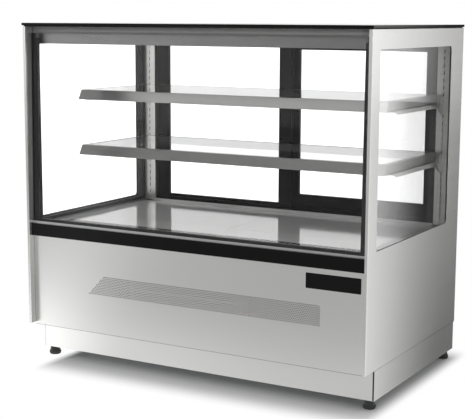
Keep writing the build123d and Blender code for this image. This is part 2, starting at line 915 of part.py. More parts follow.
def fan_mount():
    """A motor below the fan with three arms up to the plate."""
    zc = fan_plate_z - 9
    motor = rod(fan_x, fan_y, zc - 7 - fan_motor_h, zc - 7, fan_hub_r - 2)
    bore = rod(fan_x, fan_y, zc - 15, zc, fan_shaft_r + run_fit)
    arms = []
    for i in range(3):
        reach = fan_r + fan_gap + 6
        arm = Pos(reach / 2, 0, zc - 13) * Box(reach, 6, 3)
        post = Pos(reach - 2, 0, (zc - 13 + fan_plate_z) / 2) * Box(4, 6, fan_plate_z - zc + 14)
        arms += [Rot(0, 0, 120 * i + 90) * part for part in (arm, post)]
    arms = [Pos(fan_x, fan_y, 0) * arm for arm in arms]
    return join([motor] + arms) - bore


def fan_plate():
    z0, z1 = fan_plate_z, fan_plate_z + sheet
    y0, y1 = deck_split_y - fan_plate_d, deck_split_y
    plate = box(-cavity_x, cavity_x, y0, y1, z0, z1)
    for hole in both(rod(fan_x, fan_y, z0 - 1, z1 + 1, fan_r + fan_gap)):
        plate = plate - hole
    web = box(-cavity_x, cavity_x, y1 - sheet / 2, y1 + sheet / 2, z0, rim_z1)
    flange = box(-cavity_x, cavity_x, y1 - 10, y1 + 10, rim_z1 - sheet, rim_z1)
    spine = box(-10, 10, y1, cavity_y1, rim_z1 - sheet, rim_z1)
    spine_web = box(-sheet / 2, sheet / 2, y1, y1 + coil_back - 6, rim_z1 - 12, rim_z1)
    lip = box(-cavity_x, cavity_x, y0, y0 + sheet, z0 - 14, z1)
    return join([plate, web, flange, spine, spine_web, lip] + both(fan_mount()))


# Carcass


def screw_places():
    """Heads on the rear panel: (x, z)."""
    x = rear_panel_x - screw_in
    z0, z1 = rear_panel_z0 + screw_in, rear_panel_z1 - screw_in
    sides = [(s * x, z) for s in (-1, 1) for z in (z0, (z0 + z1) / 2, z1)]
    return sides + [(s * x / 3, rear_panel_z0 + screw_in / 2) for s in (-1, 1)]


def carcass():
    x, p = side_plate_x, heavy
    z1 = carcass_z1
    y0 = panel_y0 + sheet
    y1 = rear_strip_y + p
    floor = box(-in_x, in_x, y0, y1, base_z, floor_z)
    sides = both(box(x, in_x, y0, y1, base_z, z1))
    side_tops = both(box(deck_x + slip, in_x, y0, y1, z1 - p, z1))
    front_top = box(-in_x, in_x, y0, front_rail_y, z1 - p, z1)
    front_web = box(-in_x, in_x, y0, y0 + p, panel_z1, z1)
    rear_top = box(-in_x, in_x, deck_rear + 2, post_y1, z1 - p, z1)
    rear_web = box(-in_x, in_x, rear_strip_y, y1, z1 - rear_strip_h, z1)
    rear_low = box(-in_x, in_x, rear_strip_y, y1, base_z, base_z + rear_strip_h)
    stiles = both(box(x - rear_stile_w, x, rear_strip_y, y1, base_z, z1))
    ledges = both(box(x - rear_stile_w, x, tub_y0, tub_y1, tub_z0 - p, tub_z0))
    body = join([floor, front_top, front_web, rear_top, rear_web, rear_low] + sides + side_tops)
    body = join([body] + stiles + ledges)
    for sx, sz in screw_places():
        body = body - rod_y(sx, sz, rear_strip_y - 1, y1 + 1, screw_r + screw_gap)
    w, h = control_w / 2 - control_rim + slip, control_h / 2 - control_rim + slip
    hole = box(control_x - w, control_x + w, rear_strip_y - 1, y1 + 1, control_z - h, control_z + h)
    return body - hole


# Base frame, plinth and feet


def base_frame():
    """Four square tubes under the floor, with a leg and a threaded bore over each foot."""
    x, y0, y1 = plinth_x - sheet, plinth_y0 + sheet, rear_y - sheet
    z0, z1, w = base_z - base_tube, base_z, base_tube
    bars = both(closed_tube(x - w, x, y0 + leg_w, y1 - leg_w, z0, z1))
    bars += [closed_tube(leg_w - x, x - leg_w, y, y + w, z0, z1) for y in (y0, y1 - w)]
    for sx in (-1, 1):
        for fy, far, inward in ((foot_y0, y0, leg_w), (foot_y1, y1, -leg_w)):
            lx0, lx1 = sorted((sx * x, sx * (x - leg_w)))
            ly0, ly1 = sorted((far, far + inward))
            leg = box(lx0, lx1, ly0, ly1, foot_h + leg_gap, z1)
            bars.append(leg - rod(sx * foot_x, fy, foot_h, z1 - heavy, foot_stud_r + run_fit))
    return bars


def plinth_front():
    x = plinth_x - plinth_edge - plinth_gap
    return box(-x, x, plinth_y0, plinth_y0 + sheet, foot_h, base_z)


def plinth_sides():
    side = box(plinth_x - sheet, plinth_x, plinth_y0, rear_y, foot_h, base_z)
    edge = box(plinth_x - plinth_edge, plinth_x, plinth_y0, plinth_y0 + sheet, foot_h, base_z)
    rear = box(-plinth_x + sheet, plinth_x - sheet, rear_y - sheet, rear_y, foot_h, base_z)
    return both(join([side, edge])) + [rear]


def foot(x, y):
    pad = Pos(0, 0, foot_pad_h / 2) * Cylinder(foot_r, foot_pad_h)
    pad = fillet(pad.edges().group_by(Axis.Z)[0], 1.5)
    neck_h = foot_h - foot_pad_h
    neck = Pos(0, 0, foot_pad_h + neck_h / 2) * Cone(foot_r - 0.5, foot_neck_r, neck_h)
    stud = rod(0, 0, foot_h, foot_h + foot_stud_up, foot_stud_r)
    return Pos(x, y, 0) * join([pad, neck, stud])


# Rear service panel and controls


def louvre_places():
    """Low left corners of the louvre columns: two on the left and four on the right of the middle."""
    z0 = rear_panel_z0 + louvre_up
    columns = [-3.5, -2.5, 0.5, 1.5, 2.5, 3.5]
    return [(c * louvre_step, z0 + i * louvre_pitch) for c in columns for i in range(louvre_rows)]


def rear_panel():
    x, z0, z1, y = rear_panel_x, rear_panel_z0, rear_panel_z1, rear_panel_y
    corners = [(-x, y, z0), (x, y, z0), (x, y, z1), (-x, y, z1)]
    w, h = louvre_w / 2, louvre_h
    holes = [slot_wire_xz(lx - w, lx + w, y, lz, lz + h) for lx, lz in louvre_places()]
    holes += [circle_wire((sx, y, sz), (0, 1, 0), screw_r + screw_gap) for sx, sz in screw_places()]
    holes.append(circle_wire((gland_x, y, gland_z), (0, 1, 0), gland_r + slip))
    cw, ch = control_w / 2 - control_rim + slip, control_h / 2 - control_rim + slip
    holes.append(slot_wire_xz(control_x - cw, control_x + cw, y, control_z - ch, control_z + ch))
    sheet_body = pierced_sheet(corners, holes, (0, 1, 0), sheet)
    hoods = []
    for lx, lz in louvre_places():
        y1 = rear_face_y
        top = lz + louvre_h
        section = [
            (y1 - sheet, top + 2),
            (y1, top + 2),
            (y1 + louvre_hood, lz + 1),
            (y1 + louvre_hood - 1, lz),
            (y1 - sheet, top),
        ]
        hoods.append(prism_x(section, lx - w, lx + w))
    return join([sheet_body] + hoods)


def panel_screws():
    screws = []
    for x, z in screw_places():
        head = rod_y(x, z, rear_face_y, rear_face_y + screw_head_h, screw_head_r)
        head = fillet(head.edges().group_by(Axis.Y)[-1], 1)
        shank = rod_y(x, z, rear_strip_y - 6, rear_face_y, screw_r)
        cross = [
            box(x - 2.4, x + 2.4, rear_face_y + 1.2, rear_face_y + 4, z - 0.5, z + 0.5),
            box(x - 0.5, x + 0.5, rear_face_y + 1.2, rear_face_y + 4, z - 2.4, z + 2.4),
        ]
        screws.append(join([head, shank]) - cross[0] - cross[1])
    return screws


def button_places():
    z = control_z - control_h * 0.22
    return [(control_x + 2 * button_pitch + i * button_pitch, z) for i in range(3)]


def rocker_places():
    edge = control_x - control_w / 2
    return [(edge + 2 * rocker_w, control_z), (edge + 4.4 * rocker_w, control_z)]


def control_panel():
    x0, x1 = control_x - control_w / 2, control_x + control_w / 2
    z0, z1 = control_z - control_h / 2, control_z + control_h / 2
    face_y = rear_face_y + control_t
    r = control_rim
    face = box(x0, x1, rear_face_y, face_y, z0, z1)
    face = fillet(face.edges().filter_by(Axis.Y), r)
    face = chamfer(face.faces().sort_by(Axis.Y)[-1].edges(), r * 0.2)
    body = box(x0 + r, x1 - r, rear_face_y - control_body, rear_face_y, z0 + r, z1 - r)
    panel = join([face, body])
    wx0, wx1 = control_x - control_w * 0.08, control_x + control_w * 0.33
    panel = panel - box(wx0, wx1, face_y - 0.8, face_y + 1, control_z - 2, control_z + control_h * 0.35)
    for bx, bz in button_places():
        panel = panel - rod_y(bx, bz, face_y - 7, face_y + 1, button_r + 0.07)
    for rx, rz in rocker_places():
        w, h = rocker_w / 2 + 0.6, rocker_h / 2 + 2.2
        panel = panel - box(rx - w, rx + w, face_y - rocker_deep - 7, face_y + 1, rz - h, rz + h)
        pin = Cylinder(rocker_pin_r + run_fit, rocker_w + 4.4)
        panel = panel - Pos(rx, face_y - rocker_deep, rz) * Rot(0, 90, 0) * pin
    return panel


def button(index):
    x, z = button_places()[index]
    face_y = rear_face_y + control_t
    stem = rod_y(x, z, face_y - 4, face_y + button_proud, button_r)
    return chamfer(stem.edges().group_by(Axis.Y)[-1], 0.4)


def rocker(index):
    x, z = rocker_places()[index]
    pivot_y = rear_face_y + control_t - rocker_deep
    front, half = rocker_deep + 1.5, rocker_h / 2
    section = [
        (-2.5, -3),
        (3.5, 0.5 - half),
        (front, -half),
        (front - 1.2, 0),
        (front, half),
        (3.5, half - 0.5),
        (-2.5, 3),
    ]
    body = prism_x(section, -rocker_w / 2, rocker_w / 2)
    pin = Rot(0, 90, 0) * Cylinder(rocker_pin_r, rocker_w + 4)
    return Pos(x, pivot_y, z) * Rot(rocker_tilt, 0, 0) * join([body, pin])


def cable_gland():
    y = rear_face_y
    flange = rod_y(gland_x, gland_z, y, y + 2.5, gland_r + 5)
    hexagon = extrude(RegularPolygon(gland_r + 3, 6), amount=4.5)
    nut = Pos(gland_x, y + 2.5, gland_z) * Rot(-90, 0, 0) * hexagon
    stem = rod_y(gland_x, gland_z, y - 16, y + 1, gland_r)
    lock = rod_y(gland_x, gland_z, y - sheet - 5, y - sheet, gland_r + 4)
    return join([flange, nut, stem, lock]) - rod_y(gland_x, gland_z, y - 17, y + 9, gland_bore_r)


# Cooling unit in the base


def condenser():
    x0, x1, y1 = cond_x0, cond_x1, cond_y0 + cond_d
    return finned_block(x0, x1, cond_y0, y1, floor_z + cond_up, cond_z1, floor_z, cond_fins, 5)


def cond_centre():
    return cond_off, (floor_z + cond_up + cond_z1) / 2


def fan_shroud():
    """A hood behind the condenser with the fan ring, and the motor on four arms behind the ring."""
    xc, zc = cond_centre()
    y0 = cond_y0 + cond_d
    y1 = y0 + 16
    hood = box(cond_x0, cond_x1, y0, y1, floor_z, cond_z1)
    hood = hood - box(cond_x0 + sheet, cond_x1 - sheet, y0 - 1, y1 - sheet, floor_z + sheet, cond_z1 - sheet)
    ring_r = cond_fan_r + fan_gap
    ring = rod_y(xc, zc, y1 - sheet, y1 + 22, ring_r + sheet)
    opening = rod_y(xc, zc, y0 - 2, y1 + 30, ring_r)
    arms = []
    for i in range(4):
        reach = ring_r + 8
        arm = Pos(reach / 2, 0, 0) * Box(reach, 10, 3)
        strut = Pos(reach - 2, 0, -17) * Box(4, 10, 36)
        arms += [Rot(0, 0, 90 * i + 45) * part for part in (arm, strut)]
    spider = Pos(xc, y1 + 34, zc) * Rot(-90, 0, 0) * join(arms)
    motor = rod_y(xc, zc, y1 + 30, y1 + 88, cond_hub_r + 6)
    motor = fillet(motor.edges().group_by(Axis.Y)[-1], 6)
    shaft_bore = rod_y(xc, zc, y1 + 20, y1 + 52, cond_shaft_r + run_fit)
    return join([join([hood, ring]) - opening, spider, motor]) - shaft_bore


def cond_rotor():
    xc, zc = cond_centre()
    y1 = cond_y0 + cond_d + 16
    hub = Cylinder(cond_hub_r, 18)
    shaft = Pos(0, 0, -20) * Cylinder(cond_shaft_r, 26)
    rotor = join([hub, shaft] + blades(5, cond_hub_r, cond_fan_r, 18, 26))
    return Pos(xc, y1 + 11, zc) * Rot(90, 0, 0) * rotor


def compressor():
    z0, z1 = floor_z + comp_pad_h, floor_z + comp_pad_h + comp_plate_t
    can = rod(comp_x, comp_y, z1 - 2, z1 - 2 + comp_h, comp_r)
    can = fillet(can.edges(), comp_r * 0.36)
    px, py = comp_r + 27, comp_r - 8
    plate = box(comp_x - px, comp_x + px, comp_y - py, comp_y + py, z0, z1)
    pads = []
    for i in (-1, 1):
        for j in (-1, 1):
            pads.append(rod(comp_x + i * (px - 15), comp_y + j * (py - 15), floor_z, z0 + 1, 13))
    neck = rod(comp_x, comp_y, z1 - 2, z1 + 44, comp_r - 20)
    cx = comp_x + comp_r
    cover = box(cx - 14, cx + 26, comp_y - 30, comp_y + 30, z1 + 52, z1 + 112)
    return join([can, plate, neck, cover] + pads)


def pipe(points, r, bend):
    path = FilletPolyline(*points, radius=bend)
    section = Plane(origin=points[0], z_dir=Vector(*points[1]) - Vector(*points[0])) * Circle(r)
    return sweep(section, path=path)


def pipework():
    """The hot gas pipe to the condenser and the suction pipe up into the tub."""
    top = floor_z + comp_pad_h + comp_plate_t - 2 + comp_h
    zd = cond_z1 - 85
    yd = cond_y0 + cond_d / 2
    bend_x = (cond_x1 + comp_x - comp_r) / 2
    discharge = [(comp_x - comp_r, comp_y, zd), (bend_x, comp_y, zd), (bend_x, yd, zd), (cond_x1, yd, zd)]
    zs = (top + tub_z0) / 2
    ys = tub_y1 - 80
    suction = [(comp_x, comp_y, top), (comp_x, comp_y, zs), (comp_x, ys, zs), (comp_x, ys, tub_z0)]
    return [pipe(discharge, discharge_r, 14), pipe(suction, suction_r, (tub_z0 - top) * 0.4)]


def drip_tray():
    z0, z1 = floor_z, floor_z + tray_h
    x0, y0 = -in_x + tray_in, drain_y - tray_d / 2
    x1, y1 = x0 + tray_w, y0 + tray_d
    outer = box(x0, x1, y0, y1, z0, z1)
    outer = fillet(outer.edges().filter_by(Axis.Z), 8)
    return outer - box(x0 + 2, x1 - 2, y0 + 2, y1 - 2, z0 + 2, z1 + 1)


left_x0 = -door_out_x
right_x0 = door_out_x - door_w
left_pull = left_x0 + stile_w / 2
right_pull = door_out_x - stile_w / 2
left_door = (left_x0, door_y_left, left_low_rail, left_top_rail)
right_door = (right_x0, door_y_right, right_low_rail, right_top_rail)

nodes = {
    "top_glass": top_glass(),
    "top_tape": top_tape(),
    "side_panel_right": side_panel(),
    "side_panel_left": mirror(side_panel(), about=Plane.YZ),
    "side_gaskets": both(side_gasket()),
    "side_panes_right": side_panes(),
    "side_panes_left": [mirror(pane, about=Plane.YZ) for pane in side_panes()],
    "glazing_spacers": glazing_spacers(),
    "glazing_sealant": glazing_sealant(),
    "front_panes": front_panes(),
    "front_channel": front_channel(),
    "front_bar": front_bar(),
    "front_panel": front_panel(),
    "blank_plate": blank_plate(),
    "header": header(),
    "light_batten": light_batten(),
    "upper_frame": upper_frame(),
    "track_top": track_top(),
    "track_bottom": track_bottom(),
    "door_frame_left": door_frame(*left_door, left_pull),
    "door_frame_right": door_frame(*right_door, right_pull),
    "door_panes_left": door_panes(*left_door),
    "door_panes_right": door_panes(*right_door),
    "uprights": both(upright()),
    "shelf_frame_upper": shelf_frame(shelf_upper_z),
    "shelf_frame_lower": shelf_frame(shelf_lower_z),
    "shelf_glass_upper": shelf_glass(shelf_upper_z),
    "shelf_glass_lower": shelf_glass(shelf_lower_z),
    "shelf_brackets": shelf_brackets(),
    "deck_front": deck_front(),
    "deck_trays": both(deck_tray()),
    "tub_liner": tub_liner(),
    "tub_foam": tub_foam(),
    "evap_coil": evap_coil(),
    "fan_plate": fan_plate(),
    "evap_rotor_right": evap_rotor(),
    "evap_rotor_left": mirror(evap_rotor(), about=Plane.YZ),
    "carcass": carcass(),
    "base_frame": base_frame(),
    "plinth_front": plinth_front(),
    "plinth_sides": plinth_sides(),
    "foot_front_left": foot(-foot_x, foot_y0),
    "foot_front_right": foot(foot_x, foot_y0),
    "foot_rear_left": foot(-foot_x, foot_y1),
    "foot_rear_right": foot(foot_x, foot_y1),
    "rear_panel": rear_panel(),
    "panel_screws": panel_screws(),
    "control_panel": control_panel(),
    "button_1": button(0),
    "button_2": button(1),
    "button_3": button(2),
    "rocker_power": rocker(0),
    "rocker_light": rocker(1),
    "cable_gland": cable_gland(),
    "condenser": condenser(),
    "fan_shroud": fan_shroud(),
    "cond_rotor": cond_rotor(),
    "compressor": compressor(),
    "pipework": pipework(),
    "drip_tray": drip_tray(),
}

os.makedirs("parts", exist_ok=True)
for name, shape in nodes.items():
    parts = shape if isinstance(shape, list) else [shape]
    solids = [solid for part in parts for solid in part.solids()]
    body = Compound(children=solids) if len(solids) > 1 else solids[0]
    export_step(body, f"parts/{name}.step")
    print(name, len(body.solids()))
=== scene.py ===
import math

import bmesh
import bpy
from mathutils import Matrix, Vector


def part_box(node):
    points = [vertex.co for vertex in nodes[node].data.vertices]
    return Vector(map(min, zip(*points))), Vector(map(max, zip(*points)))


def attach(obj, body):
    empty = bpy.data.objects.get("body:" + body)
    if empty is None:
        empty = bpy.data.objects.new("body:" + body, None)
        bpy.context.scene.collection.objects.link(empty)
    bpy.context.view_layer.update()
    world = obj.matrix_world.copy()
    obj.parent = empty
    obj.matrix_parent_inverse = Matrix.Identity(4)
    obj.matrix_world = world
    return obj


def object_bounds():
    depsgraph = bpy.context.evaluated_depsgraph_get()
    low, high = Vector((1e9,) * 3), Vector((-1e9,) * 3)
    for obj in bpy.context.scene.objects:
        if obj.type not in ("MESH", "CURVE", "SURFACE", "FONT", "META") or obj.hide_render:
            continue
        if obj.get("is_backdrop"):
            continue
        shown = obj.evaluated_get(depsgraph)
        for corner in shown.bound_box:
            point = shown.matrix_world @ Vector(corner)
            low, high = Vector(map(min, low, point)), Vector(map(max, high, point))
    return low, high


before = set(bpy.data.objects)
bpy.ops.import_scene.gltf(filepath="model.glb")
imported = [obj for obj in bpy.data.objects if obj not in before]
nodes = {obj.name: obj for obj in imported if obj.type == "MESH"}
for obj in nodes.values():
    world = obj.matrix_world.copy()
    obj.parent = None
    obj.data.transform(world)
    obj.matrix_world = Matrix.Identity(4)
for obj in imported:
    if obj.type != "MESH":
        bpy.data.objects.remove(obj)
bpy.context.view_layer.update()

# %% [markdown]
# Four small helpers carry the whole lesson. Colours are written as sRGB hex, the way a paint chart gives
# them, and Blender wants linear light, so one function converts them. Nodes are added through one function
# that takes the node's own fields and its socket values or links. A third makes a material with its shader
# and output ready, and the last gives a material to pieces of the finished frame by their names.

# %% Helpers for colours, nodes and materials


def colour(code, share=1.0):
    """An sRGB hex code as linear red, green, blue and alpha, with the three colours scaled by a share."""
    parts = [int(code[i : i + 2], 16) / 255 for i in (1, 3, 5)]
    linear = [p / 12.92 if p < 0.04045 else ((p + 0.055) / 1.055) ** 2.4 for p in parts]
    return [share * value for value in linear] + [1.0]


def put(tree, kind, sockets=None, **fields):
    """Adds a node. A socket gets a plain value, or a link when its value is another node's output."""
    node = tree.nodes.new(kind)
    for name, value in fields.items():
        setattr(node, name, value)
    for name, value in (sockets or {}).items():
        if isinstance(value, bpy.types.NodeSocket):
            tree.links.new(value, node.inputs[name])
        else:
            node.inputs[name].default_value = value
    return node


def finish_with(name, **sockets):
    """A new material whose one shader has these socket values, and its node tree for more nodes."""
    material = bpy.data.materials.new(name)
    material.use_nodes = True
    tree = material.node_tree
    tree.nodes.clear()
    values = {key.replace("_", " "): value for key, value in sockets.items()}
    shader = put(tree, "ShaderNodeBsdfPrincipled", values)
    put(tree, "ShaderNodeOutputMaterial", {"Surface": shader.outputs[0]})
    return material, tree, shader


def dress(material, *names):
    """Gives a material to nodes of the frame."""
    for name in names:
        mesh = nodes[name].data
        mesh.materials.clear()
        mesh.materials.append(material)
    print(material.name, "on", ", ".join(names))


# %% [markdown]
# The skin of the case is 304 stainless sheet with a number 4 finish: the mill drags a belt of grit along
# the sheet and leaves fine parallel lines. They stretch highlights across the lines and give the metal its
# soft look. The real lines are about 0.1 mm apart, finer than the picture shows, so here they are drawn
# 1 mm apart. Noise squeezed along two axes and left long on the third makes such lines, and the same
# recipe serves every direction. Slow clouds over the lines stand for wiping and handling.

# %% Recipe for brushed metal

grain_per_m = 1.5
cloud_per_m = 3.0
cloud_share = 0.15
sheen_drift = 0.02
scratch_depth_m = 0.0004


def brushed(name, code, along, roughness, line_mm=1.0, depth=0.01, metal=1.0, contrast=0.03):
    """Brushed metal with its grain along one axis, and slow cloudy wear over it."""
    material, tree, shader = finish_with(name, Metallic=metal)
    where = put(tree, "ShaderNodeTexCoord").outputs["Object"]
    stretch = [grain_per_m if axis == along else 1000 / line_mm for axis in "XYZ"]
    lined = put(tree, "ShaderNodeMapping", {"Vector": where, "Scale": stretch}).outputs[0]
    lines = put(tree, "ShaderNodeTexNoise", {"Vector": lined, "Scale": 1.0, "Detail": 2.0}).outputs["Fac"]
    slow = {"Vector": where, "Scale": cloud_per_m, "Detail": 3.0}
    cloud = put(tree, "ShaderNodeTexNoise", slow).outputs["Fac"]
    wear = put(tree, "ShaderNodeMix", {"Factor": cloud_share, "A": lines, "B": cloud}).outputs[0]
    tones = {"Factor": wear, "A": colour(code, 1 - contrast), "B": colour(code)}
    tone = put(tree, "ShaderNodeMix", tones, data_type="RGBA")
    tree.links.new(tone.outputs["Result"], shader.inputs["Base Color"])
    span = {"Value": wear, "From Min": 0.3, "From Max": 0.7}
    span.update({"To Min": roughness - sheen_drift, "To Max": roughness + sheen_drift})
    sheen = put(tree, "ShaderNodeMapRange", span)
    tree.links.new(sheen.outputs[0], shader.inputs["Roughness"])
    bump = put(tree, "ShaderNodeBump", {"Height": lines, "Strength": depth, "Distance": scratch_depth_m})
    tree.links.new(bump.outputs[0], shader.inputs["Normal"])
    return material


# %% [markdown]
# The grain runs along the case at the front and rear, from front to back on the flanks, and upright on the
# posts, so there is one steel for each direction. The flanks and the deck keep a share of plain soft light
# beside their mirror light. It stands for the thin film that wiping leaves, which scatters light, and it
# stops the deck from mirroring the doors like a looking glass.

# %% Stainless sheets and rails

# Grain along the case: the front panel smears the studio up and down and keeps a slow change sideways.
steel_x = brushed("stainless_brushed_lengthwise", "#dadad8", "X", 0.3)
# Grain from front to back: the flanks run from bright at the front to grey at the rear.
steel_y = brushed("stainless_brushed_front_to_back", "#dadad8", "Y", 0.2, metal=0.75)
# Upright grain: posts and brackets carry one long soft highlight each.
steel_z = brushed("stainless_brushed_upright", "#e2e2e0", "Z", 0.28)
# The shelf rails mirror the shaded inside of the case, so their steel colour is darkened as painted shade, a
# painted reflection of that dark.
shelf_steel = brushed("stainless_shelf_rail", "#80807f", "X", 0.3)
# The deck is polished finer than the skin, so uprights and doors show in it as soft streaks.
deck_steel = brushed("stainless_polished_deck", "#d4d4d3", "X", 0.09, depth=0.0, metal=0.12, contrast=0.01)
# The light housing hangs in the shade of the top, and its steel colour is darkened as painted shade, so it
# reads as a mid grey band.
header_steel = brushed("stainless_light_housing", "#7e7e7e", "X", 0.34)
dress(steel_x, "front_panel", "plinth_front", "rear_panel", "tub_liner")
dress(steel_y, "side_panel_left", "side_panel_right", "plinth_sides", "fan_plate")
dress(steel_z, "upper_frame", "shelf_brackets", "panel_screws")
dress(shelf_steel, "shelf_frame_upper", "shelf_frame_lower")
dress(deck_steel, "deck_trays")
dress(header_steel, "header")

# %% [markdown]
# Some pieces change tone by place: the inside of a slotted channel is dark, and a punched strip reads
# darker than plain sheet. On the real case that is depth and shadow. Here a mask made from the point's own
# coordinates mixes a second colour in, which costs nothing and stays put when the piece moves.

# %% Helpers for a second tone


def axis_of(tree, axis):
    """One coordinate of the point that is shaded, in metres."""
    where = put(tree, "ShaderNodeTexCoord").outputs["Object"]
    return put(tree, "ShaderNodeSeparateXYZ", {0: where}).outputs[axis]


def tone_where(material, mask, code):
    """Another colour as far as a mask says so, from 0 to 1."""
    tree = material.node_tree
    base = tree.nodes["Principled BSDF"].inputs["Base Color"]
    tones = {"Factor": mask, "A": base.links[0].from_socket, "B": colour(code)}
    both = put(tree, "ShaderNodeMix", tones, data_type="RGBA")
    tree.links.new(both.outputs["Result"], base)


def tone_beyond(material, axis, start, code):
    """Another colour past one place along an axis: an edge bonded in another shade, or painted light on the
    part past that place.
    """
    tree = material.node_tree
    past = {0: axis_of(tree, axis), 1: start}
    tone_where(material, put(tree, "ShaderNodeMath", past, operation="GREATER_THAN").outputs[0], code)


def band_mask(tree, axis, middle, half):
    """1 within a band around a place, on one axis and mirrored to its negative side."""
    size = put(tree, "ShaderNodeMath", {0: axis_of(tree, axis)}, operation="ABSOLUTE").outputs[0]
    off = put(tree, "ShaderNodeMath", {0: size, 1: middle}, operation="SUBTRACT").outputs[0]
    off = put(tree, "ShaderNodeMath", {0: off}, operation="ABSOLUTE").outputs[0]
    return put(tree, "ShaderNodeMath", {0: off, 1: half}, operation="LESS_THAN").outputs[0]


# %% Slotted uprights and punched deck

upright_x = 0.556
channel_half = 0.0208
channel_face_y = 0.2953
punched_half_x = 0.54
punched_y = 0.233
punched_half_y = 0.033
punched_pitch = 0.018


def slotted_upright():
    """Bright on the face, and painted dark inside the channel: painted shade, which shows as a dark dash in
    each slot.
    """
    material = brushed("stainless_slotted_upright", "#ecece9", "Z", 0.3, metal=0.7)
    tree = material.node_tree
    past = {0: axis_of(tree, "Y"), 1: channel_face_y}
    deep = put(tree, "ShaderNodeMath", past, operation="GREATER_THAN").outputs[0]
    within = band_mask(tree, "X", upright_x, channel_half)
    inside = put(tree, "ShaderNodeMath", {0: deep, 1: within}, operation="MULTIPLY").outputs[0]
    tone_where(material, inside, "#161616")
    return material


def punched_steel():
    """The punched strip of the front deck. Its 5 mm holes are too fine to show one by one at this distance,
    so the shade in them is painted as a darker band with a coarser wave of 18 mm in it."""
    material = brushed("stainless_punched_deck", "#d4d4d3", "X", 0.09, depth=0.0, metal=0.12, contrast=0.01)
    tree = material.node_tree
    wide = band_mask(tree, "X", 0.0, punched_half_x)
    deep = band_mask(tree, "Y", punched_y, punched_half_y)
    turns = {0: axis_of(tree, "X"), 1: 2 * math.pi / punched_pitch}
    wave = put(tree, "ShaderNodeMath", turns, operation="MULTIPLY").outputs[0]
    wave = put(tree, "ShaderNodeMath", {0: wave}, operation="SINE").outputs[0]
    wave = put(tree, "ShaderNodeMath", {0: wave, 1: 0.15, 2: 0.8}, operation="MULTIPLY_ADD").outputs[0]
    strip = put(tree, "ShaderNodeMath", {0: wide, 1: deep}, operation="MULTIPLY").outputs[0]
    strip = put(tree, "ShaderNodeMath", {0: strip, 1: wave}, operation="MULTIPLY").outputs[0]
    tone_where(material, strip, "#3a3a3a")
    return material


dress(slotted_upright(), "uprights")
dress(punched_steel(), "deck_front")
# The right ends of the shelf rails are painted lighter: painted light for the haze of the side glass they
# are seen through.
tone_beyond(shelf_steel, "X", 0.5, "#b0b0af")

# %% [markdown]
# The glass top is 8 mm toughened glass painted black on its underside, so it reads as a deep black with a
# sharp reflection. The front bar is folded steel in black stove enamel, a little softer, and the small
# plate under it is black acrylic. All are a dark base with a low roughness. Fine dust and wiping marks
# show only in how the roughness drifts, so a slow noise drives it between two values.

# %% Black glass, black enamel and black acrylic


def gloss(name, code, low, high, marks_per_m, ior=1.5, shine=0.5):
    """A glossy coloured surface whose roughness drifts between two values, as wiped surfaces do."""
    material, tree, shader = finish_with(name, IOR=ior, Specular_IOR_Level=shine)
    where = put(tree, "ShaderNodeTexCoord").outputs["Object"]
    slow = {"Vector": where, "Scale": marks_per_m, "Detail": 4.0}
    drift = put(tree, "ShaderNodeTexNoise", slow).outputs["Fac"]
    spread = put(tree, "ShaderNodeMapRange", {"Value": drift, "To Min": low, "To Max": high})
    tree.links.new(spread.outputs[0], shader.inputs["Roughness"])
    tones = {"Factor": drift, "A": colour(code, 0.85), "B": colour(code)}
    tone = put(tree, "ShaderNodeMix", tones, data_type="RGBA")
    tree.links.new(tone.outputs["Result"], shader.inputs["Base Color"])
    return material


# Marks about 80 mm apart on the top, 50 mm on the enamel and 30 mm on the plate, from a hand's wipe down.
black_glass = gloss("glass_painted_black", "#060606", 0.03, 0.09, 12.0, 1.52, 0.1)
black_enamel = gloss("enamel_black_on_steel", "#0d0d0d", 0.14, 0.26, 20.0, 1.5, 0.15)
plate_gloss = gloss("acrylic_black_blank_plate", "#0a0a0a", 0.08, 0.18, 30.0, 1.49, 0.2)
dress(black_glass, "top_glass")
dress(black_enamel, "front_bar", "base_frame", "compressor", "fan_shroud")
dress(plate_gloss, "blank_plate")

# %% [markdown]
# Every pane is clear float glass. A shader with full transmission bends and mirrors light as glass does,
# but a lamp's light would then need caustics to get through it. So a Mix Shader lets rays that look for a
# lamp pass straight through with a faint tint, and all others meet the glass. Real float glass has an index
# of 1.52. Four faces of it in a row draw ghosts of the shelves that the photograph hardly has, so the big
# panes are matched to it with a low index, and the right side pane, seen at a flat angle, keeps its haze.

# %% Clear float glass


def clear_glass(name, code, tint, ior):
    """Glass that mirrors and bends light, and lets the lamps' light through."""
    smooth = {"Transmission_Weight": 1.0, "Roughness": 0.0, "IOR": ior}
    material, tree, shader = finish_with(name, Base_Color=colour(code), **smooth)
    shadow_ray = put(tree, "ShaderNodeLightPath").outputs["Is Shadow Ray"]
    through = put(tree, "ShaderNodeBsdfTransparent", {"Color": colour(tint)}).outputs[0]
    mixed = put(tree, "ShaderNodeMixShader", {0: shadow_ray, 1: shader.outputs[0], 2: through})
    tree.links.new(mixed.outputs[0], tree.nodes["Material Output"].inputs["Surface"])
    return material


# Big panes: all but invisible, with the faintest reflection.
pane_glass = clear_glass("glass_clear_float", "#ffffff", "#f6f6f6", 1.18)
# Shelf glass: a pale edge, and a clear mirror of the uprights behind it.
shelf_pane = clear_glass("glass_clear_shelf", "#f6f6f6", "#f0f0f0", 1.4)
# Right side panes: the strongest reflection, which veils the inside in a soft grey.
side_glass = clear_glass("glass_clear_side", "#ffffff", "#f2f2f2", 1.45)
dress(pane_glass, "front_panes", "side_panes_left", "door_panes_left", "door_panes_right")
dress(side_glass, "side_panes_right")
dress(shelf_pane, "shelf_glass_upper", "shelf_glass_lower")

# %% [markdown]
# Rubber, sealant and moulded plastic are matt because their skin carries a fine texture. A small noise
# bump, about the size of the mould's spark-eroded grain, breaks up the highlight. That grain is a few
# tenths of a millimetre, too fine to show, so it is drawn 0.8 to 2 mm wide.

# %% Rubber, sealant and moulded plastic

grain_depth_m = 0.0005


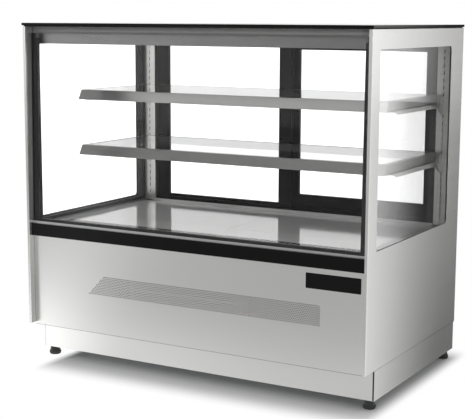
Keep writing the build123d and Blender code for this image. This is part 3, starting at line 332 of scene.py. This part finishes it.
def matt(name, code, roughness, grain_mm, depth):
    """A matt skin with a fine grain that is felt in the highlight and a little in the tone."""
    material, tree, shader = finish_with(name, Roughness=roughness, IOR=1.5)
    where = put(tree, "ShaderNodeTexCoord").outputs["Object"]
    fine = {"Vector": where, "Scale": 1000 / grain_mm, "Detail": 2.0}
    grain = put(tree, "ShaderNodeTexNoise", fine).outputs["Fac"]
    tones = {"Factor": grain, "A": colour(code, 0.8), "B": colour(code)}
    tone = put(tree, "ShaderNodeMix", tones, data_type="RGBA")
    tree.links.new(tone.outputs["Result"], shader.inputs["Base Color"])
    bump = put(tree, "ShaderNodeBump", {"Height": grain, "Strength": depth, "Distance": grain_depth_m})
    tree.links.new(bump.outputs[0], shader.inputs["Normal"])
    return material


# Extruded seal: the deepest matt black, which frames each side window with a thin line.
rubber = matt("rubber_epdm_black", "#232323", 0.62, 1.5, 0.25)
# Sealant cures with a slight sheen, so the glass edge is a black line with a soft light in it.
sealant = matt("sealant_black", "#39393a", 0.45, 2.0, 0.1)
# Foam tape under the top drinks the light and parts the glass from the steel.
tape = matt("tape_foam_black", "#0c0c0c", 0.8, 1.0, 0.3)
# Nylon feet and gland: dark grey with a broad soft highlight.
nylon = matt("nylon_moulded_black", "#2b2b2c", 0.5, 1.2, 0.3)
# ABS is a little smoother than nylon, so buttons and switches catch a small clear light.
abs_black = matt("abs_moulded_black", "#202021", 0.42, 0.8, 0.2)
# Poured foam behind the liner: dry, rough and straw coloured.
foam = matt("foam_polyurethane", "#d9cfae", 0.95, 2.0, 0.6)
# Opal cover of the light: it glows evenly and lights the top of the case.
opal = matt("polycarbonate_opal", "#f3f3f0", 0.35, 1.0, 0.05)
opal_shader = opal.node_tree.nodes["Principled BSDF"]
opal_shader.inputs["Emission Color"].default_value = colour("#ffffff")
opal_shader.inputs["Emission Strength"].default_value = 5.0
# Near the top the glass is bonded in grey, so no black line runs over the light housing.
tone_beyond(sealant, "Z", 1.0605, "#a6a6a5")
dress(rubber, "side_gaskets")
dress(sealant, "glazing_sealant")
dress(tape, "top_tape")
dress(nylon, "foot_front_left", "foot_front_right", "foot_rear_left", "foot_rear_right", "cable_gland")
dress(abs_black, "control_panel", "button_1", "button_2", "button_3", "rocker_power", "rocker_light")
dress(abs_black, "evap_rotor_left", "evap_rotor_right", "cond_rotor", "drip_tray")
dress(foam, "tub_foam")
dress(opal, "light_batten")

# %% [markdown]
# Aluminium shows up four ways: the grey spacer bars between the panes, the mill-finish channel under the
# front glass, thin fins in the coils, and the black anodised door frames and tracks. Anodising keeps the
# drawn lines of the extrusion and dyes them. The carcass behind the skin is galvanised sheet, and the
# pipes are copper. All of them are drawn or rolled metal, so they share the recipe for brushed metal.

# %% Aluminium, zinc and copper

# Warm-edge spacers are dull and dark; their top part is painted lighter, as painted light from near the lit
# header.
spacer_metal = brushed("spacer_warm_edge_grey", "#4e4e4d", "Z", 0.5)
tone_beyond(spacer_metal, "Z", 1.045, "#8f8f8e")
# Mill finish: a soft bright line along the foot of the front glass.
channel_metal = brushed("aluminium_mill_channel", "#c2c3c2", "X", 0.35)
# Fins are rolled thin and bright, and read as a pale block with dark gaps.
fin_metal = brushed("aluminium_fin", "#d5d6d8", "Z", 0.3)
# Black anodising keeps a metal's highlight, so the door frames never look like plastic.
door_metal = brushed("aluminium_anodised_black", "#1b1b1b", "Z", 0.34)
# Zinc spangle is broad and cool, so its pattern is six times as coarse as a brushed line.
zinc = brushed("steel_galvanised", "#9fa2a3", "X", 0.45, line_mm=6.0)
# Drawn tube: warm, with a clear highlight along it.
copper = brushed("copper_drawn_tube", "#c58a6a", "Z", 0.3, line_mm=2.0)
dress(spacer_metal, "glazing_spacers")
dress(channel_metal, "front_channel")
dress(fin_metal, "evap_coil", "condenser")
dress(door_metal, "door_frame_left", "door_frame_right", "track_top", "track_bottom")
dress(zinc, "carcass")
dress(copper, "pipework")

# %% [markdown]
# Rivets, brush tufts and grip ribs repeat along a line or a ring, so Geometry Nodes place one small shape
# on many points. Each tree has named inputs for its sizes. The result is turned into a plain mesh that
# rides on its body, because a finished part is passed on without live modifiers.

# %% Helpers for trees of repeated shapes


def tree_with(name, **sizes):
    """A geometry tree with these named inputs, whole numbers, metres or vectors, and its two end nodes."""
    tree = bpy.data.node_groups.new(name, "GeometryNodeTree")
    kinds = {int: "NodeSocketInt", float: "NodeSocketFloat", tuple: "NodeSocketVector"}
    for label, value in sizes.items():
        socket = tree.interface.new_socket(label, in_out="INPUT", socket_type=kinds[type(value)])
        socket.default_value = value
    tree.interface.new_socket("Geometry", in_out="OUTPUT", socket_type="NodeSocketGeometry")
    return tree, put(tree, "NodeGroupInput").outputs, put(tree, "NodeGroupOutput")


def close_tree(tree, end, geometry, material):
    """Instances become real geometry with a material, and that is the tree's output."""
    real = put(tree, "GeometryNodeRealizeInstances", {"Geometry": geometry}).outputs[0]
    done = put(tree, "GeometryNodeSetMaterial", {"Geometry": real, "Material": material}).outputs[0]
    tree.links.new(done, end.inputs["Geometry"])


def run_tree(tree, name, **sizes):
    """The plain mesh that a tree gives for these sizes."""
    seed = bpy.data.objects.new(name + "_seed", bpy.data.meshes.new(name + "_seed"))
    bpy.context.scene.collection.objects.link(seed)
    modifier = seed.modifiers.new("rule", "NODES")
    modifier.node_group = tree
    sockets = {s.name: s.identifier for s in tree.interface.items_tree if s.in_out == "INPUT"}
    for label, value in sizes.items():
        modifier[sockets[label]] = value
    graph = bpy.context.evaluated_depsgraph_get()
    mesh = bpy.data.meshes.new_from_object(seed.evaluated_get(graph))
    bpy.data.objects.remove(seed)
    print(name, len(mesh.polygons), "faces")
    return mesh


# %% Helpers for bars and for pieces on a body


def bar(name, low, high, material, soft):
    """A straight bar between two corners, with its edges eased by a small bevel."""
    shape = bmesh.new()
    bmesh.ops.create_cube(shape, size=1.0)
    for vertex in shape.verts:
        vertex.co = [low[i] + (vertex.co[i] + 0.5) * (high[i] - low[i]) for i in range(3)]
    bmesh.ops.bevel(shape, geom=shape.edges[:], offset=soft, segments=2, affect="EDGES", profile=0.5)
    mesh = bpy.data.meshes.new(name)
    shape.to_mesh(mesh)
    shape.free()
    mesh.materials.append(material)
    return mesh


def joined(meshes, name):
    """Several meshes with one material as a single mesh."""
    whole = bmesh.new()
    for mesh in meshes:
        whole.from_mesh(mesh)
    result = bpy.data.meshes.new(name)
    whole.to_mesh(result)
    whole.free()
    result.materials.append(meshes[0].materials[0])
    return result


def piece_from(mesh, name, body):
    """A plain piece on a body, with its faces turned outwards."""
    shape = bmesh.new()
    shape.from_mesh(mesh)
    bmesh.ops.recalc_face_normals(shape, faces=shape.faces)
    shape.to_mesh(mesh)
    shape.free()
    made = bpy.data.objects.new(name, mesh)
    mesh.name = name
    bpy.context.scene.collection.objects.link(made)
    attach(made, body)
    print(name, "rides on", body, "with", len(mesh.polygons), "faces")


# %% [markdown]
# The rear posts are closed with pop rivets. A rivet's head is a low dome about 6.4 mm across and 1.3 mm
# high. A line of points carries a flattened sphere each, cut to a few faces, since only its highlight is
# ever seen. Two rows run up the posts and one along the rear beam.

# %% Rivets on the rear posts and beam


def rivet_row():
    """A tree that sets low domes at equal steps along a line."""
    inputs = {"count": 6, "start": (0.0, 0.0, 0.0), "step": (0.0, 0.0, 0.1), "radius": 0.0032}
    tree, sizes, end = tree_with("rivet_row", **inputs)
    line = {"Count": sizes["count"], "Start Location": sizes["start"], "Offset": sizes["step"]}
    places = put(tree, "GeometryNodeMeshLine", line, mode="OFFSET").outputs[0]
    ball = {"Segments": 12, "Rings": 6, "Radius": sizes["radius"]}
    dome = put(tree, "GeometryNodeMeshUVSphere", ball).outputs[0]
    flat = put(tree, "GeometryNodeTransform", {"Geometry": dome, "Scale": (1.0, 0.4, 1.0)}).outputs[0]
    heads = put(tree, "GeometryNodeInstanceOnPoints", {"Points": places, "Instance": flat}).outputs[0]
    close_tree(tree, end, heads, zinc)
    return tree


post_rivet_x = 0.5605
post_rivet_step = 0.11
beam_rivet_step = 0.16
post_low, post_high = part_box("upper_frame")
row = rivet_row()
rivet_rows = []
for side, name in ((-1, "rivets_left_post"), (1, "rivets_right_post")):
    place = (side * post_rivet_x, post_high.y, post_low.z + 0.04)
    rivet_rows.append(run_tree(row, name, start=place, step=(0.0, 0.0, post_rivet_step)))
place = (-3 * beam_rivet_step, post_high.y, post_high.z - 0.018)
rivet_rows.append(run_tree(row, "rivets_beam", count=7, start=place, step=(beam_rivet_step, 0.0, 0.0)))
piece_from(joined(rivet_rows, "rear_rivets"), "rear_rivets", "cabinet")

# %% [markdown]
# The two doors slide past each other with a 6 mm gap, which a brush strip closes. Its tufts stand on an
# aluminium strip on the left door's back and stop just short of the right door. Real tufts are finer than
# a picture shows, so each of these stands for a small bundle, leaned a little at random so that the brush
# looks soft. Three rows side by side give it its thickness.

# %% Brush seal between the doors

quarter_turn = math.pi / 2
tuft_gap = 0.0036
tuft_height = 0.0042
row_shift = 0.0022


def brush_row():
    """A tree that stands short cones along an upright line, each leaned a little its own way."""
    inputs = {"count": 100, "start": (0.0, 0.0, 0.0), "gap": 0.004, "height": 0.0045}
    tree, sizes, end = tree_with("brush_row", **inputs)
    step = put(tree, "ShaderNodeCombineXYZ", {"Z": sizes["gap"]}).outputs[0]
    line = {"Count": sizes["count"], "Start Location": sizes["start"], "Offset": step}
    places = put(tree, "GeometryNodeMeshLine", line, mode="OFFSET").outputs[0]
    cone = {"Vertices": 5, "Radius Top": 0.0004, "Radius Bottom": 0.0011, "Depth": sizes["height"]}
    tuft = put(tree, "GeometryNodeMeshCone", cone).outputs["Mesh"]
    least = (-quarter_turn - 0.12, -0.1, -0.15)
    most = (-quarter_turn + 0.12, 0.1, 0.15)
    lean = {"Min": least, "Max": most, "Seed": 7}
    turn = put(tree, "FunctionNodeRandomValue", lean, data_type="FLOAT_VECTOR").outputs[0]
    spread = {"Points": places, "Instance": tuft, "Rotation": turn}
    close_tree(tree, end, put(tree, "GeometryNodeInstanceOnPoints", spread).outputs[0], nylon)
    return tree


door_low, door_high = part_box("door_frame_left")
brush = brush_row()
tuft_count = int((door_high.z - door_low.z - 0.01) / tuft_gap)
tuft_rows = []
for shift in (-row_shift, 0.0, row_shift):
    start = (door_high.x - 0.012 + shift, door_high.y + 0.0012, door_low.z + 0.005 + tuft_gap / 2)
    sizes = {"count": tuft_count, "start": start, "gap": tuft_gap, "height": tuft_height}
    tuft_rows.append(run_tree(brush, "brush_row", **sizes))
strip_low = (door_high.x - 0.016, door_high.y, door_low.z + 0.004)
strip_high = (door_high.x - 0.008, door_high.y + 0.0014, door_high.z - 0.004)
brush_strip = bar("brush_strip", strip_low, strip_high, spacer_metal, 0.0003)
piece_from(brush_strip, "brush_strip", "door_left")
piece_from(joined(tuft_rows, "brush_tufts"), "brush_tufts", "door_left")

# %% [markdown]
# Each foot is turned by hand to level the case, so its rim has grip ribs. They are short upright rods in a
# ring, half sunk in the rim, and ride on the foot that turns.

# %% Grip ribs on the feet


def grip_ring():
    """A tree that sets upright ribs around a ring."""
    inputs = {"count": 18, "radius": 0.018, "place": (0.0, 0.0, 0.0), "height": 0.01}
    tree, sizes, end = tree_with("grip_ring", **inputs)
    ring = {"Vertices": sizes["count"], "Radius": sizes["radius"]}
    points = put(tree, "GeometryNodeMeshCircle", ring).outputs[0]
    rib = {"Vertices": 6, "Side Segments": 1, "Radius": 0.0011, "Depth": sizes["height"]}
    shape = put(tree, "GeometryNodeMeshCylinder", rib).outputs["Mesh"]
    ribs = put(tree, "GeometryNodeInstanceOnPoints", {"Points": points, "Instance": shape}).outputs[0]
    place = {"Geometry": ribs, "Translation": sizes["place"]}
    close_tree(tree, end, put(tree, "GeometryNodeTransform", place).outputs[0], nylon)
    return tree


rib_height = 0.008
rib_middle_z = 0.0075
grips = grip_ring()
for foot in ("foot_front_left", "foot_front_right", "foot_rear_left", "foot_rear_right"):
    low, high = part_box(foot)
    middle = (low + high) / 2
    place = (middle.x, middle.y, low.z + rib_middle_z)
    ring = run_tree(grips, foot + "_grip", radius=(high.x - low.x) / 2, place=place, height=rib_height)
    piece_from(ring, foot + "_grip", foot)

# %% [markdown]
# The sheets of the case meet at open edges, and the shadow lines at those seams are painted as thin black
# strips: painted shade along the top of the side kick plates, up their front right corner, and under the
# front panel. They draw the dark hairlines that part the sheets. A straight bar with eased edges is all they
# need.

# %% Black strips of painted shade along the sheet edges

strip_soft = 0.0002
plinth_low, plinth_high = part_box("plinth_sides")
kick_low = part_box("plinth_front")[0]
panel_low, panel_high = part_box("front_panel")
flank_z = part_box("side_panel_right")[0].z
# Each strip is painted shade: a black bar where a seam's shadow line falls.
strips = []
for side in (-1, 1):
    ends = sorted((side * (plinth_high.x - 0.0008), side * (plinth_high.x + 0.0012)))
    low = (ends[0], plinth_low.y + 0.002, flank_z - 0.0022)
    high = (ends[1], plinth_high.y - 0.001, flank_z - 0.0001)
    strips.append(bar("kick_top_shadow_strip", low, high, rubber, strip_soft))
low = (plinth_high.x - 0.0055, kick_low.y - 0.0008, kick_low.z + 0.001)
high = (plinth_high.x - 0.0015, kick_low.y + 0.0002, flank_z - 0.003)
strips.append(bar("kick_corner_shadow_strip", low, high, rubber, strip_soft))
low = (panel_low.x + 0.001, panel_low.y - 0.0002, panel_low.z - 0.0008)
high = (panel_high.x - 0.001, panel_low.y + 0.0016, panel_low.z + 0.0001)
strips.append(bar("panel_edge_shadow_strip", low, high, rubber, strip_soft))
piece_from(joined(strips, "shadow_line_strips"), "shadow_line_strips", "cabinet")

# %% [markdown]
# The light is an opal tube between two moulded end caps, a little larger than the tube all round so that
# they grip it. Both are plain blocks with eased edges, which is how such caps are moulded.

# %% End caps of the light

cap_length = 0.007
cap_proud = 0.0008
light_low, light_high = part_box("light_batten")
caps = []
for side in (-1, 1):
    ends = sorted((side * light_high.x, side * (light_high.x + cap_length)))
    low = (ends[0], light_low.y - cap_proud, light_low.z - cap_proud)
    high = (ends[1], light_high.y + cap_proud, light_high.z + cap_proud / 2)
    caps.append(bar("light_cap", low, high, abs_black, 0.0012))
piece_from(joined(caps, "light_end_caps"), "light_end_caps", "cabinet")

# %% [markdown]
# The finger pulls are recesses of 16 by 120 mm, milled 7 mm deep into the backs of the door frames. A
# moulded rim covers the cut edge of each, and four eased bars make it.

# %% Rims of the finger pulls

pull_half_width = 0.008
pull_bottom = 0.72
pull_top = 0.84
rim_width = 0.0026
rim_proud = 0.0012
rim_sunk = 0.0002


def pull_rim(name, body, node, middle_x):
    """Four eased bars around a finger pull, on the back of a door."""
    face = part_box(node)[1].y
    left, right = middle_x - pull_half_width, middle_x + pull_half_width
    sides = (
        (left - rim_width, left, pull_bottom, pull_top),
        (right, right + rim_width, pull_bottom, pull_top),
        (left - rim_width, right + rim_width, pull_top, pull_top + rim_width),
        (left - rim_width, right + rim_width, pull_bottom - rim_width, pull_bottom),
    )
    rims = []
    for low_x, high_x, low_z, high_z in sides:
        low, high = (low_x, face - rim_sunk, low_z), (high_x, face + rim_proud, high_z)
        rims.append(bar("rim", low, high, abs_black, 0.0005))
    piece_from(joined(rims, name), name, body)


pull_rim("pull_rim_left", "door_left", "door_frame_left", -0.508)
pull_rim("pull_rim_right", "door_right", "door_frame_right", 0.508)

# %% [markdown]
# The thermostat at the back shows a temperature on a seven-segment display. Each digit is a set of lit bars,
# chosen from one list per number; lists are given for the two numbers shown, 0 and 4. It is read from behind
# the case, so its digits run toward minus X.

# %% Places of the seven segments

segment_places = {
    "top": (0.0, 1.0, True),
    "middle": (0.0, 0.0, True),
    "bottom": (0.0, -1.0, True),
    "upper_left": (-1.0, 0.5, False),
    "upper_right": (1.0, 0.5, False),
    "lower_left": (-1.0, -0.5, False),
    "lower_right": (1.0, -0.5, False),
}
lit_segments = {
    "0": ["top", "bottom", "upper_left", "upper_right", "lower_left", "lower_right"],
    "4": ["middle", "upper_left", "upper_right", "lower_right"],
}
digit_half_width = 0.0024
digit_half_height = 0.0056
segment_width = 0.0011
digit_step = 0.011

# %% Display window and its digits


def lit_digit(number, middle_x, middle_z, face, material):
    """The lit bars of one number, standing a little proud of the window."""
    bars = []
    for name in lit_segments[number]:
        across, up, flat = segment_places[name]
        x, z = middle_x - across * digit_half_width, middle_z + up * digit_half_height
        reach_x, reach_z = digit_half_width - 0.0006, segment_width / 2
        if not flat:
            reach_x, reach_z = segment_width / 2, digit_half_height / 2 - 0.0005
        low = (x - reach_x, face - 0.0001, z - reach_z)
        high = (x + reach_x, face + 0.0004, z + reach_z)
        bars.append(bar("segment", low, high, material, 0.0001))
    return bars


# Lit segments: a red light of its own, which stays readable on the dark window.
lit = {"Emission_Color": colour("#ff4a30"), "Emission_Strength": 1.0}
digit_glow = finish_with("display_segment_lit", Base_Color=colour("#3a1010"), **lit)[0]
# Smoked acrylic: nearly black with a warm cast, polished by its mould.
smoked = gloss("acrylic_smoked_window", "#16090a", 0.05, 0.1, 40.0, 1.49, 0.4)
window_x, window_z = 0.4225, 0.415
window_half_width, window_half_height = 0.0355, 0.0082
panel_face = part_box("control_panel")[1].y
low = (window_x - window_half_width, panel_face - 0.0002, window_z - window_half_height)
high = (window_x + window_half_width, panel_face + 0.0006, window_z + window_half_height)
piece_from(bar("display_window", low, high, smoked, 0.0002), "display_window", "cabinet")
digits = []
for index, number in enumerate("04"):
    middle_x = window_x + 0.006 - index * digit_step
    digits += lit_digit(number, middle_x, window_z, high[1], digit_glow)
piece_from(joined(digits, "display_digits"), "display_digits", "cabinet")

# %% [markdown]
# The photograph looks at the case from its front right, a little above the top, with a long lens. The
# camera was solved from the straight edges of the case, so its place and turn are plain numbers here.

# %% Camera

lens = bpy.data.cameras.new("product_camera")
lens.sensor_width = 36.0
lens.lens = 91.4
lens.clip_end = 60.0
camera = bpy.data.objects.new("product_camera", lens)
camera.location = (1.8815, -3.3501, 1.1088)
yaw, lean, roll = [math.radians(v) for v in (29.64, 90 - 9.05, 0.24)]
turned = Matrix.Rotation(yaw, 3, "Z") @ Matrix.Rotation(lean, 3, "X") @ Matrix.Rotation(roll, 3, "Z")
camera.rotation_euler = turned.to_euler()
bpy.context.scene.collection.objects.link(camera)
bpy.context.scene.camera = camera
print("camera lens in mm:", lens.lens)

# %% [markdown]
# A product studio is a pale floor that runs into a white background. Rays that reach this backdrop straight,
# or through glass alone, see it white. Each glass face takes a little light away, so the white behind it is
# raised by a small step per face to stay white. Rays that have bounced off the case see the room instead.

# %% Which rays see the white backdrop


def backdrop_seen(tree):
    """1 for rays that reach the backdrop straight or through glass alone, and the white they then see."""
    path = put(tree, "ShaderNodeLightPath").outputs
    bounced = put(tree, "ShaderNodeMath", {0: path["Glossy Depth"], 1: path["Diffuse Depth"]}).outputs[0]
    direct = put(tree, "ShaderNodeMath", {0: bounced, 1: 0.5}, operation="LESS_THAN").outputs[0]
    rays = {0: path["Is Camera Ray"], 1: path["Is Transmission Ray"]}
    either = put(tree, "ShaderNodeMath", rays, operation="MAXIMUM").outputs[0]
    seen = put(tree, "ShaderNodeMath", {0: direct, 1: either}, operation="MULTIPLY").outputs[0]
    step = {0: path["Transmission Depth"], 1: 0.06, 2: 1.0}
    white = put(tree, "ShaderNodeMath", step, operation="MULTIPLY_ADD").outputs[0]
    return seen, white


# %% [markdown]
# Metal looks like what it mirrors, so the room around the case decides how the steel reads. It is an even
# grey with soft glows in a few directions: a bright window at the left front, a wall light at the right
# rear, a dark gap straight behind, a fill at the left rear, and a pale ceiling.

# %% The room

room_level = 0.46
# The direction of each glow, the cosine at which it starts and at which it is full, and its strength.
room_glows = [
    ((-0.766, -0.643, 0.0), 0.84, 1.0, 1.05),
    ((0.766, 0.643, 0.0), 0.86, 0.9, 1.6),
    ((0.17, 0.985, 0.0), 0.93, 1.0, -0.42),
    ((-0.48, 0.85, 0.2), 0.75, 1.0, 0.6),
    ((0.0, 0.0, 1.0), 0.3, 1.0, 0.45),
]


def room_world():
    """The room that mirrored and scattered rays see, and the white backdrop for all others."""
    world = bpy.data.worlds.new("studio")
    world.use_nodes = True
    tree = world.node_tree
    tree.nodes.clear()
    where = put(tree, "ShaderNodeTexCoord").outputs["Generated"]
    total = room_level
    for direction, start, full, strength in room_glows:
        both = {0: where, 1: direction}
        facing = put(tree, "ShaderNodeVectorMath", both, operation="DOT_PRODUCT").outputs["Value"]
        span = {"Value": facing, "From Min": start, "From Max": full, "To Min": 0.0, "To Max": strength}
        glow = put(tree, "ShaderNodeMapRange", span, interpolation_type="SMOOTHSTEP").outputs[0]
        total = put(tree, "ShaderNodeMath", {0: total, 1: glow}).outputs[0]
    seen, white = backdrop_seen(tree)
    level = put(tree, "ShaderNodeMix", {"Factor": seen, "A": total, "B": white}).outputs[0]
    back = put(tree, "ShaderNodeBackground", {"Color": colour("#ffffff"), "Strength": level})
    put(tree, "ShaderNodeOutputWorld", {"Surface": back.outputs[0]})
    bpy.context.scene.world = world


room_world()
print("glows in the room:", len(room_glows))

# %% [markdown]
# The floor is one large plane of pale matt paint. Close to the case it keeps its paint, so the shadow lies
# on it, and past a narrow border it fades into the white backdrop for every ray that sees the backdrop.

# %% Floor

floor_half = 12
corners = [(-floor_half, -floor_half, 0), (floor_half, -floor_half, 0)]
corners += [(floor_half, floor_half, 0), (-floor_half, floor_half, 0)]
floor_mesh = bpy.data.meshes.new("studio_floor")
floor_mesh.from_pydata(corners, [], [(0, 1, 2, 3)])
floor = bpy.data.objects.new("studio_floor", floor_mesh)
bpy.context.scene.collection.objects.link(floor)
floor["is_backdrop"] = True
floor_paint, floor_tree, paint = finish_with(
    "floor_matt_white", Base_Color=colour("#cfcfcf"), Roughness=0.9
)
floor_mesh.materials.append(floor_paint)

# %% Where the floor fades to white

shadow_centre_x = 0.05
shadow_half = (0.54, 0.33, 0.0)
shadow_squeeze = (1.0, 0.35, 0.0)
fade_width = 0.05


def beyond_shadow(tree, where):
    """How far a point of the floor lies outside the shaded place under the case, in metres."""
    steps = (
        ("ADD", (-shadow_centre_x, 0.0, 0.0)),
        ("ABSOLUTE", (0.0, 0.0, 0.0)),
        ("SUBTRACT", shadow_half),
        ("MAXIMUM", (0.0, 0.0, 0.0)),
        ("MULTIPLY", shadow_squeeze),
    )
    for operation, amount in steps:
        where = put(tree, "ShaderNodeVectorMath", {0: where, 1: amount}, operation=operation).outputs[0]
    return put(tree, "ShaderNodeVectorMath", {0: where}, operation="LENGTH").outputs["Value"]


def painted_or_white(tree, where, paint):
    """The paint near the case, and the backdrop's white past it for the rays that see the backdrop."""
    span = {"Value": beyond_shadow(tree, where), "From Min": 0.0, "From Max": fade_width}
    fade = put(tree, "ShaderNodeMapRange", span, interpolation_type="SMOOTHSTEP").outputs[0]
    seen, white = backdrop_seen(tree)
    share = put(tree, "ShaderNodeMath", {0: fade, 1: seen}, operation="MULTIPLY").outputs[0]
    glow = put(tree, "ShaderNodeEmission", {"Color": colour("#ffffff"), "Strength": white}).outputs[0]
    mixed = put(tree, "ShaderNodeMixShader", {0: share, 1: paint.outputs[0], 2: glow})
    return mixed.outputs[0], seen


# %% [markdown]
# The camera stands higher than the case, so every upright sheet mirrors the floor and not the walls. In a
# studio, white and black cards laid on the floor shape those reflections, and the photograph shows them:
# the front panel runs from bright at its left to grey at its right, and the flank from bright in front to
# grey at the rear. So for mirrored rays alone the floor has tones by place, each a smooth step between two
# levels, as cards look soft in brushed steel. They are fixed to the floor, so they hold from every side.

# %% Tones of the floor in a mirror

rear_tone = 0.75
# How far each line of cards runs askew: the slope and the shift of the place that a step is measured by.
front_slope, front_shift = -0.6, -0.2
side_slope, side_shift = -2.5, 1.5


def mirrored_tone(tree, spot):
    """How bright the floor looks to a mirrored ray, from where that ray meets it."""
    front_run = {0: spot["Y"], 1: front_slope, 2: front_shift}
    front_run = put(tree, "ShaderNodeMath", front_run, operation="MULTIPLY_ADD").outputs[0]
    front_place = put(tree, "ShaderNodeMath", {0: spot["X"], 1: front_run}).outputs[0]
    side_run = {0: spot["X"], 1: side_slope, 2: side_shift}
    side_run = put(tree, "ShaderNodeMath", side_run, operation="MULTIPLY_ADD").outputs[0]
    side_place = put(tree, "ShaderNodeMath", {0: spot["Y"], 1: side_run}).outputs[0]
    # The place, where the step starts and ends, and the level before and after it.
    steps = {
        "front": (front_place, -0.75, -0.3, 1.25, 0.5),
        "near": (spot["Y"], -1.3, -0.6, 0.0, 1.0),
        "near_tone": (front_place, -0.8, 0.5, 0.55, 0.27),
        "left_end": (front_place, -1.15, -0.75, 0.35, 1.0),
        "side": (side_place, -0.75, 0.3, 1.2, 0.06),
        "behind": (spot["Y"], -0.3, 0.4, 0.0, 1.0),
        "beside": (spot["X"], 0.45, 0.65, 0.0, 1.0),
    }
    tone = {}
    for name, (place, start, stop, before, after) in steps.items():
        span = {"Value": place, "From Min": start, "From Max": stop, "To Min": before, "To Max": after}
        tone[name] = put(tree, "ShaderNodeMapRange", span, interpolation_type="SMOOTHSTEP").outputs[0]
    close = {0: tone["near"], 1: tone["near_tone"]}
    close = put(tree, "ShaderNodeMath", close, operation="MULTIPLY").outputs[0]
    front = put(tree, "ShaderNodeMath", {0: tone["front"], 1: close}).outputs[0]
    front = put(tree, "ShaderNodeMath", {0: front, 1: tone["left_end"]}, operation="MULTIPLY").outputs[0]
    front = put(tree, "ShaderNodeMix", {"Factor": tone["behind"], "A": front, "B": rear_tone}).outputs[0]
    return put(tree, "ShaderNodeMix", {"Factor": tone["beside"], "A": front, "B": tone["side"]}).outputs[0]


floor_where = put(floor_tree, "ShaderNodeTexCoord").outputs["Object"]
floor_spot = put(floor_tree, "ShaderNodeSeparateXYZ", {0: floor_where}).outputs
plain, seen = painted_or_white(floor_tree, floor_where, paint)
card = {"Color": colour("#ffffff"), "Strength": mirrored_tone(floor_tree, floor_spot)}
card = put(floor_tree, "ShaderNodeEmission", card).outputs[0]
# A ray through plain glass counts as mirrored too, so the rays that see the backdrop are taken off.
glossy = put(floor_tree, "ShaderNodeLightPath").outputs["Is Glossy Ray"]
mirrored = put(floor_tree, "ShaderNodeMath", {0: glossy, 1: seen}, operation="SUBTRACT").outputs[0]
mirrored = put(floor_tree, "ShaderNodeMath", {0: mirrored, 1: 0.0}, operation="MAXIMUM").outputs[0]
whole = put(floor_tree, "ShaderNodeMixShader", {0: mirrored, 1: plain, 2: card}).outputs[0]
floor_tree.links.new(whole, floor_tree.nodes["Material Output"].inputs["Surface"])
print("floor nodes:", len(floor_tree.nodes))

# %% [markdown]
# Three soft lamps light the paint, plastic and edges. A large one overhead gives the soft shadow under the
# case, and a weaker one at each front corner opens the dark sides. Their size softens every shadow edge.

# %% Soft lamps


def softbox(name, place, aim, width, height, power):
    """A rectangular lamp at a place, turned to shine at a point."""
    light = bpy.data.lights.new(name, "AREA")
    light.shape = "RECTANGLE"
    light.size = width
    light.size_y = height
    light.energy = power
    box = bpy.data.objects.new(name, light)
    box.location = place
    box.rotation_euler = (Vector(aim) - Vector(place)).to_track_quat("-Z", "Y").to_euler()
    bpy.context.scene.collection.objects.link(box)
    print(name, "watts:", power)


softbox("overhead", (0.0, -0.3, 3.4), (0, 0, 0), 3.6, 3.0, 34.0)
softbox("left_front", (-2.6, -2.4, 2.0), (-0.3, 0, 0.5), 1.2, 1.6, 6.0)
softbox("right_front", (2.9, -2.2, 1.6), (0.6, 0, 0.5), 1.2, 1.6, 9.0)

# %% [markdown]
# The view transform is Standard, so a colour renders about as it is written. A ray that crosses the case
# from front to back can meet eight sheets of glass, each with two faces, so the bounce limits are raised
# until the glass no longer goes dark where many faces overlap.

# %% View and bounces

settings = bpy.context.scene
settings.view_settings.view_transform = "Standard"
settings.cycles.max_bounces = 24
settings.cycles.transmission_bounces = 24
settings.cycles.transparent_max_bounces = 32

# %% [markdown]
# Last, the size of the visual box is printed.

# %% Size of the visual box

low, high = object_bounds()
print("visual box in metres:", [round(v, 4) for v in high - low])
